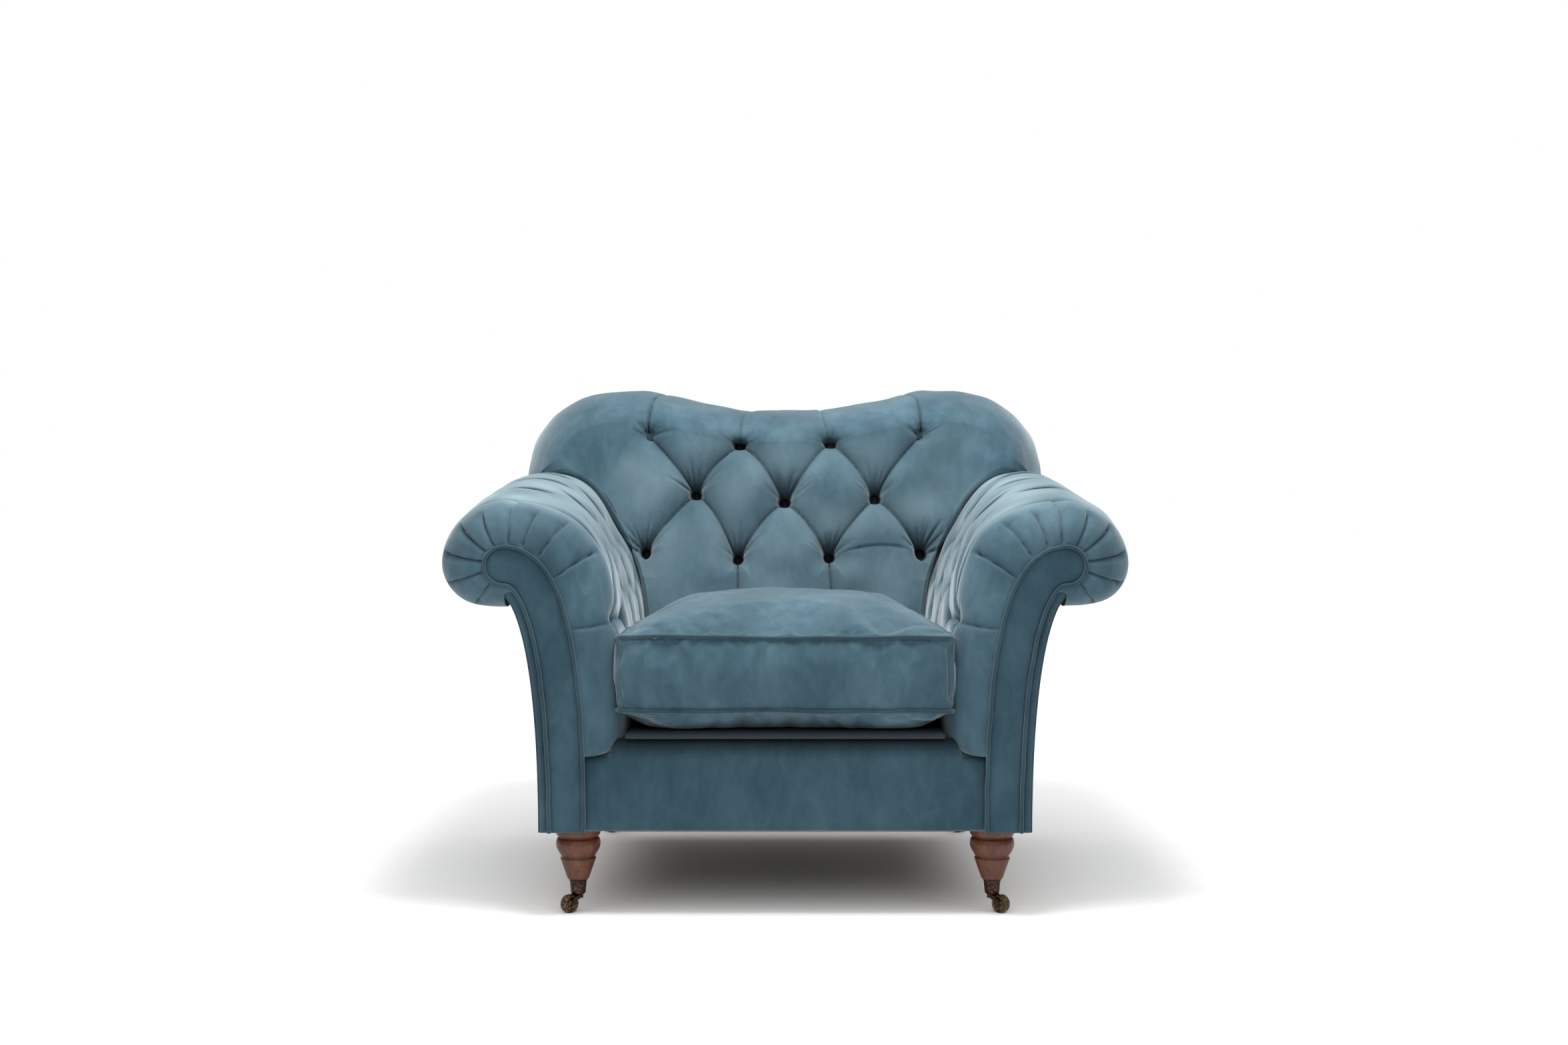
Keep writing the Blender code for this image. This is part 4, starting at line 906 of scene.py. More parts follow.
def coveredButton(name, place, normal, shade=0.75):  # shade: how little light reaches it
    bpy.ops.mesh.primitive_uv_sphere_add(
        segments=button["segments"], ring_count=button["rings"], radius=button["radius"]
    )
    piece = bpy.context.object
    bpy.ops.object.mode_set(mode="EDIT")
    bpy.ops.mesh.select_all(action="SELECT")
    bpy.ops.transform.resize(value=(1, 1, button["thick"] / button["radius"] / 2))
    bpy.ops.object.mode_set(mode="OBJECT")
    for vertex in piece.data.vertices:  # the cloth is drawn tight under the rim
        if vertex.co.z < 0:
            vertex.co.z *= 0.55
    turn = Vector(normal).to_track_quat("Z", "Y").to_matrix().to_4x4()
    piece.data.transform(Matrix.Translation(Vector(place)) @ turn)
    piece.name = piece.data.name = name
    bpy.ops.object.select_all(action="DESELECT")
    piece.data.shade_smooth()
    evenFold(piece, shade)
    dress(piece, velvet)
    return piece


def nearestPlace(flat, xyz, normal, target):
    gap = (flat[..., 0] - target[0]) ** 2 + (flat[..., 1] - target[1]) ** 2
    at = np.unravel_index(np.argmin(gap), gap.shape)
    return xyz[at], normal[at]


wx, wz = warped(coreFlat[..., 0], coreFlat[..., 1])
warpedFlat = np.stack([wx, wz], -1)
for number, place in enumerate(buttonPlaces(), start=1):
    at, out = nearestPlace(warpedFlat, coreXyz, coreNormal, place)
    piece = coveredButton(f"backButton{number:02d}", at + out * 0.0035, out)
    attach(piece, "chair")
    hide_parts(f"back_button_{number:02d}")
print("back buttons made")


# Arms


def armCreases(sign):
    length = armPad["length"]
    nose = chair["facingY"] + armPad["noseRound"]
    edgeAt = nose - armPad["noseLength"]
    creases = []

    def onRoll(degrees):
        a, b = armPad["innerShare"], armPad["rollShare"]
        return a + (90 - degrees) / 180 * (b - a)

    def innerEdge(z):  # s where the facing's own edge reaches a height
        s = np.linspace(armPad["footShare"], armPad["innerShare"], 200)
        x, edgeZ, nx, nz, pad = armSection(s, np.full(s.shape, chair["facingY"]))
        return float(np.interp(z, edgeZ, s))

    def radial(s, share, deep, drift=0.0, to=None):  # a pleat from the facing's piping out over the nose
        far = edgeAt + armPad["noseLength"] * share if to is None else to
        steps = np.linspace(0, 1, 6)
        line = [
            ((s + drift * k + 0.004 * math.sin(math.pi * k)) * length, edgeAt + (far - edgeAt) * k)
            for k in steps
        ]
        depth = deep * np.array([0.75, 0.75, 0.8, 0.95, 1.15, 0.0 if to is None else 0.6])
        creases.append(
            dict(points=line, depth=depth * 1.7, reach=0.022, sharp=0.62, lip=0.6, lineWidth=0.0016, dark=0.6)
        )

    radial(innerEdge(0.568), 0.84, 0.0052, 0.004)
    radial(innerEdge(0.6015), 0.82, 0.0052, 0.004)
    radial(innerEdge(0.6172), 0.76, 0.0050, 0.002)
    radial(onRoll(96), 1.0, 0.0055, 0.0, to=-0.368)
    radial(onRoll(66), 0.74, 0.0050, -0.002)
    radial(onRoll(41), 0.78, 0.0054, -0.002)
    radial(onRoll(13), 0.80, 0.0058, 0.0)
    radial(onRoll(-15), 0.80, 0.0058, 0.002)
    radial(onRoll(-50), 0.80, 0.0052, 0.002)
    # the cross pleat from the facing to the corner button
    start, corner = innerEdge(0.486), armPlace(0.500, -0.392)
    line = curvedLine((start * length, edgeAt), (corner * length, -0.392), ((start - 0.012) * length, nose - 0.05), 8)
    addCrease(
        creases, points=line, depth=[0.004, 0.005, 0.0055, 0.006, 0.006, 0.0065, 0.008, 0.010], reach=0.026,
        sharp=0.5, lip=0.5, lineWidth=0.002, dark=0.7,
    )
    # the collar's crease, behind the nose
    def ringAt(y, first, last, deep, reach=0.030, dark=0.85, count=26):
        ss = np.linspace(first, last, count)
        fadeIn = smoothStep(np.linspace(0, 1, count), 0, 0.12) * (1 - smoothStep(np.linspace(0, 1, count), 0.85, 1.0))
        addCrease(
            creases, points=[(s * length, y) for s in ss], depth=deep * fadeIn, reach=reach, sharp=0.5,
            lip=0.35, lineWidth=0.0022, dark=dark
        )

    ringAt(-0.366, corner - 0.01, onRoll(-35), 0.0095)
    # tufts: buttons in rows down the seat side
    upper = [(-0.255, 0.640), (-0.095, 0.640), (0.065, 0.640)]
    lower = [(-0.395, 0.500), (-0.175, 0.562), (-0.015, 0.562), (0.145, 0.562)]
    last = [(-0.255, 0.490), (-0.095, 0.490), (0.065, 0.490)]
    place = {(y, z): (armPlace(z, y) * length, y) for y, z in upper + lower + last}

    def side(first, second, deep=1.0):
        p, q = np.array(place[first]), np.array(place[second])
        # the folds that run down to the back are the deep ones
        deep = deep * (
            0.0145 if second[0] > first[0] else 0.0060
        )
        bend = (p[0] * 0.7 + q[0] * 0.3, p[1] * 0.3 + q[1] * 0.7) if abs(p[0] - q[0]) > 0.01 else (p + q) / 2
        line = curvedLine(p, q, bend, 9)
        share = np.linspace(0, 1, 9)
        depth = deep + 0.009 * (np.exp(-((share / 0.2) ** 2)) + np.exp(-(((1 - share) / 0.2) ** 2)))
        addCrease(
            creases, points=line, depth=depth, reach=0.050, lip=0.45, lineWidth=0.0050,
            dark=1.5 if deep > 0.010 else 0.5,
        )

    for one in upper:
        for other in lower[1:]:
            if abs(one[0] - other[0]) < 0.10:
                side(one, other)
    for one in lower[1:]:
        for other in last:
            if abs(one[0] - other[0]) < 0.10:
                side(one, other, 0.8)
    side(lower[0], last[0], 0.6)
    side(lower[0], upper[0], 0.5)
    for (y, z), deep in zip(upper, (0.007, 0.010, 0.010)):
        begin = place[(y, z)]
        end = onRoll(86)
        line = [
            begin, (begin[0] + 0.03, y + 0.006), ((begin[0] + end * length) / 2, y + 0.022),
            (end * length, y + 0.050),
        ]
        addCrease(
            creases, points=line, depth=[0.024, deep, deep * 0.7, 0.0], reach=0.050, lip=0.5, lineWidth=0.0024,
            dark=0.9,
        )
    for y, begin, stop, way, deep in (  # loose folds over the top of the roll
        (-0.205, 112, 70, 0.030, 0.0060), (-0.150, 150, 106, 0.045, 0.0070), (-0.020, 118, 62, 0.045, 0.0070),
        (0.035, 152, 108, 0.040, 0.0060), (0.105, 112, 60, 0.030, 0.0055),
    ):
        line = curvedLine(
            (onRoll(begin) * length, y), (onRoll(stop) * length, y + way),
            (onRoll((begin + stop) / 2) * length, y + way * 0.2), 7,
        )
        addCrease(
            creases, points=line, depth=deep * np.array([0.0, 0.7, 1.0, 1.0, 0.8, 0.4, 0.0]), reach=0.030,
            lip=0.6, sharp=0.5, lineWidth=0.0040, dark=1.3,
        )
    for spot in upper + lower + last:
        deep = 0.014 if spot == lower[0] else 0.027
        p = place[spot]
        addCrease(
            creases, points=[p, (p[0], p[1] + 0.0005)], depth=[deep, deep], reach=0.026, sharp=0.9,
            lineWidth=0.005, dark=0.8,
        )
    # gathers round the buttons
    chance = np.random.default_rng(31 if sign > 0 else 32)
    for spot in upper + lower + last:
        p = place[spot]
        for k in range(9):
            turn = chance.uniform(0, math.tau)
            long = chance.uniform(0.020, 0.045)
            far = (p[0] + long * math.cos(turn), p[1] + long * math.sin(turn))
            near = (p[0] + 0.008 * math.cos(turn), p[1] + 0.008 * math.sin(turn))
            addCrease(
                creases, points=[near, far], depth=[chance.uniform(0.0010, 0.0022), 0.0], reach=0.006,
                sharp=1.0, added=True, dark=0.08,
            )
    return creases, [place[spot] for spot in upper + lower + last]


def buildArm(side, sign):
    turnStart = math.radians(armPad["noseTurn"])
    noseTurns = np.linspace(0, 1, armPad["noseRows"])
    s = np.linspace(0, 1, armPad["columns"])
    radius = armPad["noseRound"]
    span = math.pi / 2 + turnStart
    noseLength = span * (radius + armPad["rollPad"]) / 2 * 0.93
    armPad["noseLength"] = noseLength
    nose = chair["facingY"] + radius
    bodyShare = np.linspace(0, 1, armPad["rows"])[1:]
    grid, flat = [], []
    for share in noseTurns:
        turn = -turnStart + span * share
        y = nose - radius * math.cos(turn)
        x, z, nx, nz, pad = armSection(s, np.full(s.shape, y))
        lift = (math.sin(turn) + math.sin(turnStart)) / (1 + math.sin(turnStart))
        offset = pad * lift
        frontY = y + radius * (math.cos(turnStart) - 1)
        grid.append(np.stack([x + nx * offset, np.full(s.shape, frontY), z + nz * offset], -1))
        flat.append(np.stack([s * armPad["length"], np.full(s.shape, nose - noseLength * (1 - share))], -1))
    for share in bodyShare:
        # the rear end follows the raked back, so each column has its own length
        x, z, nx, nz, pad = armSection(s, np.full(s.shape, 0.30))
        rear = rakedPlane(z + nz * pad, chair["rearSkin"])
        y = frontY + share * (rear - frontY)
        x, z, nx, nz, pad = armSection(s, y)
        grid.append(np.stack([x + nx * pad, y, z + nz * pad], -1))
        flat.append(np.stack([s * armPad["length"], y - frontY + nose], -1))
    grid, flat = np.array(grid), np.array(flat)
    normal = gridNormals(grid)
    middle = normal[armPad["noseRows"] + 40, int(armPad["columns"] * armPad["innerShare"] / 2)]
    if middle[0] > 0:
        normal = -normal
    creases, spots = armCreases(sign)
    depth, line = creaseField(flat[..., 0], flat[..., 1], creases)
    edgeFade = smoothStep(flat[..., 0], 0.0, 0.03) * (
        1 - smoothStep(flat[..., 0], armPad["length"] - 0.03, armPad["length"])
    )
    noseFade = smoothStep(flat[..., 1], nose - noseLength, nose - noseLength + 0.012)
    uneven = 0.0012 * softWaves(flat[..., 0], flat[..., 1], 40 + sign, 0.10)
    grid = grid - normal * (
        (depth * noseFade - uneven * smoothStep(flat[..., 1], nose - noseLength, nose)) * edgeFade
    )[..., None]
    # the hollow side, along the frame, closes the pad
    hollow = []
    ss = np.linspace(1, 0, 40)[1:-1]
    for row in range(len(grid)):
        y = grid[row, :, 1]
        yy = np.interp(ss, s, y)
        x, z, nx, nz, pad = armSection(ss, yy)
        depthIn = 0.0 if row == 0 else 0.0004
        yy = np.minimum(yy, rakedPlane(z, chair["rearSkin"]))
        hollow.append(np.stack([x + nx * depthIn, yy, z + nz * depthIn], -1))
    hollow = np.array(hollow)
    piece = closedBand(f"armPad{side.capitalize()}", grid * (sign, 1, 1), hollow * (sign, 1, 1), s, ss)
    # painted highlight: the roll's seat side and the nose are paler, where light from above falls
    paintedHighlightShare = smoothStep(s, 0.40, 0.53) * (1 - smoothStep(s, 0.60, 0.74))
    paintedHighlightShare = paintedHighlightShare[None] * (0.10 + 0.90 * smoothStep(flat[..., 1], nose - 0.35 * noseLength, nose + 0.02))
    paintedHighlightShare = paintedHighlightShare * (0.62 + 0.22 * softWaves(flat[..., 0], flat[..., 1], 50 + sign, 0.12))
    # painted shade: the fold attribute darkens the pleats, creases and tufts
    addAttribute(piece, "fold", np.concatenate([line, np.zeros(hollow.shape[:2])], 1))
    addAttribute(piece, "paintedHighlight", np.concatenate([paintedHighlightShare, np.zeros(hollow.shape[:2])], 1))
    tidyMesh(piece)
    settle(piece, velvet, "chair", f"arm_pad_{side}")
    for number, spot in enumerate(spots, start=1):
        at, out = nearestPlace(flat, grid, normal, spot)
        at, out = at * (sign, 1, 1), out * (sign, 1, 1)
        small = coveredButton(f"armButton{side.capitalize()}{number:02d}", at + out * 0.003, out)
        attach(small, "chair")
    return piece


for side, sign in sides.items():
    armPiece = buildArm(side, sign)
    print("arm pad made:", side, len(armPiece.data.vertices), "points")

# Facings: the flat velvet strips on the arm fronts, each edged with piping

facingStrip = dict(rows=170, columns=22, capRows=22, crown=0.0022, inset=0.0010, piping=0.0034)


def outlineOfFacing(offset, count=90):  # seat side up, round the roll's end and down the outer side
    t = np.linspace(0, 1, count)
    x, z, _, _ = stripEdge(t, 1, offset, 0.0 * t)
    turns = np.linspace(math.pi / 2, -math.pi / 2, 24)[1:-1]
    reach = chair["facingEnd"] + offset
    capX, capZ = chair["rollX"] + reach * np.cos(turns), chair["rollZ"] + reach * np.sin(turns)
    x2, z2, _, _ = stripEdge(t[::-1], -1, offset, 0.0 * t)
    return np.stack([np.concatenate([x, capX, x2]), np.concatenate([z, capZ, z2])], -1)


def buildFacing(side, sign):
    across = np.linspace(-1, 1, facingStrip["columns"])
    t = np.linspace(0, 1, facingStrip["rows"])
    inner = np.stack(stripEdge(t, 1, -facingStrip["inset"], 0.0 * t)[:2], -1)
    outer = np.stack(stripEdge(t, -1, -facingStrip["inset"], 0.0 * t)[:2], -1)
    turns = np.linspace(0, math.pi / 2, facingStrip["capRows"])[1:]
    reach = chair["facingEnd"] - facingStrip["inset"]
    x = chair["rollX"] + reach * np.sin(turns)
    inner = np.concatenate([inner, np.stack([x, chair["rollZ"] + reach * np.cos(turns)], -1)])
    outer = np.concatenate([outer, np.stack([x, chair["rollZ"] - reach * np.cos(turns)], -1)])
    mix = (across[None, :, None] + 1) / 2
    flat = inner[:, None] * (1 - mix) + outer[:, None] * mix
    crown = np.sqrt(np.clip(1 - across**2, 0, 1))[None] * np.ones((len(inner), 1))
    crown[facingStrip["rows"]:] *= np.cos(turns)[:, None] ** 0.5
    puff = facingStrip["crown"] * crown + 0.0005 * softWaves(flat[..., 0], flat[..., 1], 60 + sign, 0.09) * crown
    front = np.stack([sign * flat[..., 0], chair["facingY"] + 0.0012 - puff, flat[..., 1]], -1)
    rear = front * (1, 0, 1) + (0, chair["facingY"] + 0.0098, 0)
    piece = slab(f"facing{side.capitalize()}", front, rear)
    evenFold(piece, 0.0)
    settle(piece, velvetShaded, "chair", f"arm_facing_{side}")
    cord = resample(outlineOfFacing(0.0016), 260)
    wander = 0.0004 * softWaves(cord[:, 0], cord[:, 1], 70 + sign, 0.06)
    path = np.stack([sign * (cord[:, 0] + wander), np.full(len(cord), chair["facingY"] - 0.0026), cord[:, 1]], -1)
    piping = tube(f"facingPiping{side.capitalize()}", path, facingStrip["piping"])
    # painted shade on the piping
    evenFold(piping, pipingShade)
    settle(piping, velvetShaded, "chair")


for side, sign in sides.items():
    buildFacing(side, sign)
print("facings made")

# Outside arms: curved panels with a front rim beside the facing and their own piping

outsideArm = dict(
    standOff=0.0125, thick=0.0060, top=0.835, rows=150, columns=190, piping=0.0030, crown=0.003
)


def buildOutsideArm(side, sign):
    t = np.linspace(0, outsideArm["top"], outsideArm["rows"])
    far = outsideArm["standOff"] + outsideArm["thick"]
    layers = []
    for offset, out in ((far, 1.0), (outsideArm["standOff"], 0.0)):
        columns = []
        for share in np.linspace(0, 1, outsideArm["columns"]):
            share = share**1.3
            x, z, nx, nz = stripEdge(t, -1, offset, np.full(t.shape, chair["rise"]))
            rear = rakedPlane(z, chair["rearSkin"])
            y = chair["facingY"] + 0.0015 + share * (rear - chair["facingY"] - 0.0015)
            rise = riseAt(y)[0]
            frontRound = quarterRound((y - chair["facingY"]) / 0.010)
            here = offset - out * 0.008 * (1 - frontRound) if out else np.where(
                y < chair["riseStart"] - 0.004, 0.0006, offset
            )
            x, z, nx, nz = stripEdge(t, -1, 0.0, rise)
            crown = outsideArm["crown"] * np.sin(
                math.pi * np.clip((y - chair["riseStart"]) / 0.75, 0, 1)
            ) * np.sin(math.pi * t / outsideArm["top"])
            sag = crown + 0.0012 * softWaves(y, z, 80 + sign, 0.16) * smoothStep(y, -0.40, -0.36)
            offsetHere = here + out * sag
            columns.append(np.stack([sign * (x + nx * offsetHere), y, z + nz * offsetHere], -1))
        layers.append(np.array(columns))
    piece = slab(f"outsideArm{side.capitalize()}", layers[0], layers[1])
    evenFold(piece, 0.0)
    settle(piece, velvetShaded, "chair", f"outside_arm_{side}")
    cords = []
    x, z, nx, nz = stripEdge(t, -1, far - 0.0010, 0.0 * t)
    frontCord = np.stack([sign * x, np.full(t.shape, chair["facingY"] + 0.0065), z], -1)
    cords.append(tube("cord", frontCord[::2], outsideArm["piping"]))
    x, z, nx, nz = stripEdge(t, -1, far - 0.0015, np.full(t.shape, chair["rise"]))
    cords.append(tube("cord", np.stack([sign * x, rakedPlane(z, 0.0060), z], -1)[::2], outsideArm["piping"]))
    piping = joinPieces(f"outsidePiping{side.capitalize()}", cords)
    # painted shade on the piping
    evenFold(piping, pipingShade)
    settle(piping, velvetShaded, "chair")


for side, sign in sides.items():
    buildOutsideArm(side, sign)
print("outside arms made")

# The front border under the cushion, and the sprung platform behind it

border = dict(
    half=0.3394, shoulder=0.2980, low=0.1443, top=0.2997, y=-0.4364, thick=0.0145, crown=0.0028, columns=300,
    rows=80,
)


def buildBorder():
    u = np.linspace(-1, 1, border["columns"])
    v = np.linspace(0, 1, border["rows"])
    x = u * border["half"]
    stepped = smoothStep(np.abs(x), border["shoulder"] - 0.012, border["shoulder"] + 0.004)
    top = border["top"] * (1 - stepped) + (chair["borderTop"] - 0.001) * stepped
    z = border["low"] + (top[None] - border["low"]) * v[:, None]
    xx = np.broadcast_to(x, z.shape)
    edge = np.minimum.reduce([
        (border["half"] - np.abs(xx)) / 0.010, (z - border["low"]) / 0.008, (top[None] - z) / 0.034, np.ones(z.shape),
    ])
    rounded = quarterRound(edge)
    crown = border["crown"] * (1 - (xx / border["half"]) ** 4) * np.sin(
        math.pi * np.clip((z - border["low"]) / 0.15, 0, 1)
    ) ** 0.5
    hem = 0.0007 * np.exp(-(z - border["low"]) / 0.012) * softWaves(xx * 3, z, 91, 0.09)
    sway = 0.0009 * softWaves(xx, z * 0.7, 92, 0.16) * rounded
    lean = 0.0085 * (1 - quarterRound((top[None] - z) / 0.034))
    y = border["y"] + 0.0030 + 0.0045 * (1 - rounded) + lean - crown - sway - hem - 0.002
    front = np.stack([xx, y, z], -1)
    rear = np.stack([xx, np.full(z.shape, border["y"] + border["thick"]), z], -1)
    piece = slab("frontBorder", front, rear)
    reachedBy = np.array([v.co.z for v in piece.data.vertices])
    # hardly any light reaches its top edge
    addAttribute(
        piece, "fold", 0.85 * smoothStep(reachedBy, 0.262, border["top"])
    )
    settle(piece, velvetShaded, "chair", "front_border")


def buildPlatform():
    low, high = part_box("seat_platform")
    u = np.linspace(0, 1, 120)
    v = np.linspace(0, 1, 120)
    uu, vv = np.meshgrid(u, v)
    x = low.x + (high.x - low.x) * uu
    y = low.y + (high.y - low.y) * vv
    rounded = quarterRound(np.minimum.reduce([uu, 1 - uu, vv, 1 - vv]) / 0.02)
    sag = 0.0022 * np.sin(math.pi * uu) * np.sin(math.pi * vv) * (0.6 + 0.4 * np.sin(uu * math.pi * 10))
    seam = 0.0012 * np.exp(-((np.abs(vv - 0.16) / 0.004) ** 2))
    z = high.z - 0.004 * (1 - rounded) - sag - seam
    topSheet = np.stack([x, y, z], -1)
    under = np.stack([x, y, np.full(x.shape, low.z + 0.0004)], -1)
    piece = slab("seatPlatform", topSheet, under)
    settle(piece, deckFinish, "chair", "seat_platform")


buildBorder()
buildPlatform()
print("border and platform made")

# The outside back: one stretched panel over the whole rear, with piping round it

outsideBack = dict(thick=0.0060, crown=0.0035, piping=0.0032, voxel=0.0029, kept=0.16)


def outsideBackOutline(inset):
    far = outsideArm["standOff"] + outsideArm["thick"]
    t = np.linspace(0, outsideArm["top"], 60)
    x, z, _, _ = stripEdge(t, -1, far - inset, np.full(t.shape, chair["rise"]))
    z[0] = chair["legHeight"] + 0.0012 + inset
    lowerSide = np.stack([x, z], -1)
    s = np.linspace(1, armPad["innerShare"] + 0.02, 60)
    rx, rz, nx, nz, pad = armSection(s, np.full(s.shape, 0.40))
    roll = np.stack([rx + nx * (pad - inset - 0.001), rz + nz * (pad - inset - 0.001)], -1)
    crossing = np.argmax((roll[:, 0] < chair["backHalf"] - inset) & (roll[:, 1] > chair["rollZ"] + 0.06))
    roll = roll[:crossing]
    crest = crestLine(inset + 0.003, 0.0)
    crest = crest[: len(crest) // 2 + 1]
    half = np.concatenate([lowerSide, roll, crest])
    mirror = half[::-1] * (-1, 1)
    return np.concatenate([half, mirror[1:]])


def buildOutsideBack():
    outline = outsideBackOutline(0.0)
    slope = math.cos(chair["rake"])
    curve = bpy.data.curves.new("outsideBack", "CURVE")
    curve.dimensions = "2D"
    curve.fill_mode = "BOTH"
    curve.extrude = outsideBack["thick"] / 2
    spline = curve.splines.new("POLY")
    even = resample(outline, 420)
    spline.points.add(len(even) - 1)
    for knot, (x, z) in zip(spline.points, even):
        knot.co = (x, (z - chair["legHeight"]) / slope, 0, 1)
    spline.use_cyclic_u = True
    piece = bpy.data.objects.new("outsideBack", curve)
    bpy.context.scene.collection.objects.link(piece)
    piece.select_set(True)
    bpy.context.view_layer.objects.active = piece
    bpy.ops.object.convert(target="MESH")
    piece = bpy.context.object
    remesh = piece.modifiers.new("even faces", "REMESH")
    remesh.mode = "VOXEL"
    remesh.voxel_size = outsideBack["voxel"]
    bpy.ops.object.modifier_apply(modifier=remesh.name)
    thin = piece.modifiers.new("fewer faces", "DECIMATE")
    thin.ratio = outsideBack["kept"]
    bpy.ops.object.modifier_apply(modifier=thin.name)
    mesh = piece.data
    co = meshPlaces(mesh)
    edgeGap = gapTo(np.stack([even[:, 0], (even[:, 1] - chair["legHeight"]) / slope], -1), co)
    rounded = quarterRound(edgeGap / 0.012)
    swell = outsideBack["crown"] * (1 - np.exp(-edgeGap / 0.10)) - 0.004 * (1 - rounded)
    sway = 0.0012 * softWaves(co[:, 0], co[:, 1], 97, 0.22) * (1 - np.exp(-edgeGap / 0.05))
    outside = co[:, 2] < 0
    co[:, 2] -= np.where(outside, swell + sway, 0.0)
    mesh.vertices.foreach_set("co", co.ravel())
    turn = Matrix.Rotation(math.pi / 2 - chair["rake"], 4, "X")
    depth = outsideBack["thick"] / 2
    mesh.transform(Matrix.Translation((0, rakedPlane(chair["legHeight"], depth), chair["legHeight"])) @ turn)
    bpy.ops.object.select_all(action="DESELECT")
    mesh.name = "outsideBack"
    mesh.shade_smooth()
    mesh.update()
    addAttribute(piece, "fold", np.zeros(len(mesh.vertices)))
    settle(piece, velvetShaded, "chair", "outside_back")
    path = resample(outsideBackOutline(-0.0005), 420)
    places = np.stack([path[:, 0], rakedPlane(path[:, 1], 0.0040), path[:, 1]], -1)
    piping = tube("outsideBackPiping", places, outsideBack["piping"])
    # painted shade on the piping
    evenFold(piping, pipingShade)
    settle(piping, velvetShaded, "chair")


buildOutsideBack()
print("outside back made")

# The loose seat cushion: boxed, with piped seams; cloth simulation fills its panels

cushion = dict(
    frontHalf=0.2815, rearHalf=0.2640, frontY=-0.4515, rearY=0.1130, corner=0.036, topSeam=0.4720, lowSeam=0.3490,
    crown=0.0540, underCrown=0.0385, bow=0.0060, ring=220, piping=0.0036, voxel=0.0058, frames=20, farthest=0.020,
)


def cushionPlan(shrink, count):  # a rounded plan, a little wider in front, as (x, y)
    points = []
    c = cushion["corner"]
    for x, y, start in ((1, 1, 0), (-1, 1, 90), (-1, -1, 180), (1, -1, 270)):
        half = cushion["rearHalf"] if y > 0 else cushion["frontHalf"]
        end = cushion["rearY"] if y > 0 else cushion["frontY"]
        r = c if y > 0 else c * 0.55
        centre = (x * (half - r), end - y * r)
        for turn in np.linspace(start, start + 90, 12):
            points.append(
                (centre[0] + r * math.cos(math.radians(turn)), centre[1] + r * math.sin(math.radians(turn)))
            )
    points = np.array(points + points[:1])
    points = resample(points, count + 1)[:-1]
    middle = np.array([0, (cushion["frontY"] + cushion["rearY"]) / 2])
    way = points - middle
    return points - way / np.linalg.norm(way, axis=1, keepdims=True) * shrink


def crownHeight(x, y, power=2.15):
    half = cushion["frontHalf"] + (cushion["rearHalf"] - cushion["frontHalf"]) * (y - cushion["frontY"]) / (
        cushion["rearY"] - cushion["frontY"]
    )
    middle = (cushion["frontY"] + cushion["rearY"]) / 2
    long = (cushion["rearY"] - cushion["frontY"]) / 2
    a = 1 - np.clip(np.abs(x) / half, 0, 1) ** power
    b = 1 - np.clip(np.abs(y - middle) / long, 0, 1) ** power
    return np.clip(a, 0, 1) ** 0.62 * np.clip(b, 0, 1) ** 0.62


def cushionShell(fill):
    plan = cushionPlan(0.0, cushion["ring"])
    middle = np.array([0, (cushion["frontY"] + cushion["rearY"]) / 2])
    rings = []
    shares = np.sin(np.linspace(0, math.pi / 2, 44))[1:]
    for share in shares[:-1]:  # the underside, from its middle out to the lower seam
        flat = middle + (plan - middle) * share
        z = cushion["lowSeam"] - cushion["underCrown"] * fill * crownHeight(flat[:, 0], flat[:, 1], 7.0)
        rings.append(np.stack([flat[:, 0], flat[:, 1], z], -1))
    way = plan - middle
    way = way / np.linalg.norm(way, axis=1, keepdims=True)
    for share in np.linspace(0, 1, 26):  # the boxing, between the two seams
        bow = cushion["bow"] * fill * math.sin(math.pi * share)
        z = cushion["lowSeam"] + (cushion["topSeam"] - cushion["lowSeam"]) * share
        rings.append(np.column_stack([plan + way * bow, np.full(len(plan), z)]))
    for share in shares[::-1][1:]:
        flat = middle + (plan - middle) * share
        z = cushion["topSeam"] + cushion["crown"] * fill * crownHeight(flat[:, 0], flat[:, 1])
        rings.append(np.stack([flat[:, 0], flat[:, 1], z], -1))
    piece = skin("seatCushion", np.array(rings), closed=True, cap=True)
    return tidyMesh(piece)


